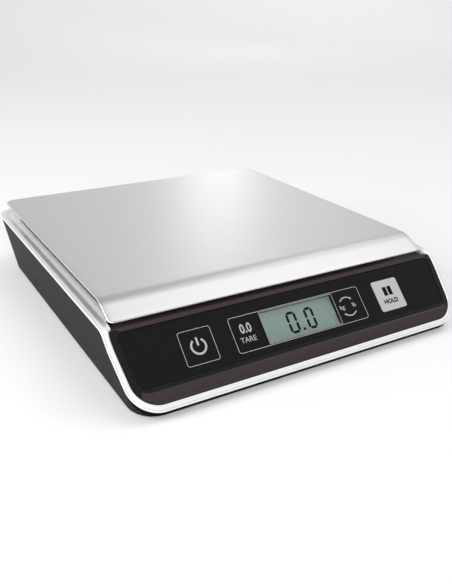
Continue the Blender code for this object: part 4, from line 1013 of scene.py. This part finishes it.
board = plain_material("solder_mask", (0.012, 0.11, 0.035), 0.35)
grained(board, 700, (0.25, 0.45), 0.02 * MM)
dressed(board, "main_board", "usb_board")
chip = plain_material("chip_epoxy", (0.015, 0.015, 0.016), 0.6)
grained(chip, 4000, (0.5, 0.7), 0.006 * MM)
key_names = ("power", "tare", "units", "hold")
dressed(chip, "microcontroller", *(f"switch_body_{key}" for key in key_names))
plunger = plain_material("plunger_red", (0.35, 0.02, 0.015), 0.4)
grained(plunger, 3000, (0.35, 0.5), 0.004 * MM)
dressed(plunger, *(f"switch_plunger_{key}" for key in key_names))
zinc = plain_material("zinc_plate", (0.62, 0.63, 0.66), 0.35, 1.0)
grained(zinc, 1800, (0.28, 0.45), 0.006 * MM)
dressed(zinc, "board_screw_1", "board_screw_2")


# ------------------------------------------------------------------ weighing mechanism
# A bored aluminium beam bends under the load. The black carrier is screwed to its live end
# and holds the steel platform on four silicone cushions.

beam = plain_material("milled_aluminium", (0.66, 0.67, 0.68), 0.35, 1.0)
grained(beam, 1500, (0.28, 0.42), 0.008 * MM, (0.04, 1, 1))
flexing_beam = finished_copy("load_cell", beam, rides=False)
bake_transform(flexing_beam)
dressed(zinc, *(f"load_cell_{end}_screw_{n}" for end in ("fixed", "live") for n in (1, 2)))
cushion = plain_material("clear_silicone", (0.5, 0.51, 0.5), 0.55)
grained(cushion, 2000, (0.5, 0.65), 0.005 * MM)
dressed(cushion, *(f"platform_cushion_{n}" for n in range(1, 5)))
finished_copy("platform_carrier", black)


# ------------------------------------------------------------------ power
# Three AAA cells lie in the bay under a hinged door, between plated contacts and springs.
# A USB socket in the back wall gives power as well.

jacket = plain_material("cell_jacket", (0.02, 0.02, 0.022), 0.3)
grained(jacket, 600, (0.25, 0.4), 0.01 * MM)
dressed(jacket, "battery_1", "battery_2", "battery_3")
contacts = ("contact_negative", "contact_positive", "contact_bridge_left", "contact_bridge_right")
dressed(zinc, *contacts, *(f"battery_spring_{n}" for n in (1, 2, 3)), "usb_socket")
finished_copy("battery_door", black, 0.2 * MM)
wire_colours = {
    "battery_lead_positive": (0.4, 0.02, 0.015),
    "battery_lead_negative": (0.015, 0.015, 0.015),
    "load_cell_cable": (0.2, 0.2, 0.21),
    "usb_lead": (0.2, 0.2, 0.21),
}
for name, colour in wire_colours.items():
    insulation = plain_material(name + "_insulation", colour, 0.45)
    grained(insulation, 900, (0.4, 0.55), 0.01 * MM)
    dressed(insulation, name)


# ------------------------------------------------------------------ feet and casing screws
# Four soft rubber feet are glued in wells in the base, and four zinc-plated screws hold the
# casings together beside them.

rubber = plain_material("foot_rubber", (0.025, 0.025, 0.026), 0.75)
grained(rubber, 1500, (0.7, 0.9), 0.02 * MM)
for n in range(1, 5):
    finished_copy(f"foot_{n}", rubber, 0.3 * MM)
dressed(zinc, *(f"casing_screw_{n}" for n in range(1, 5)))
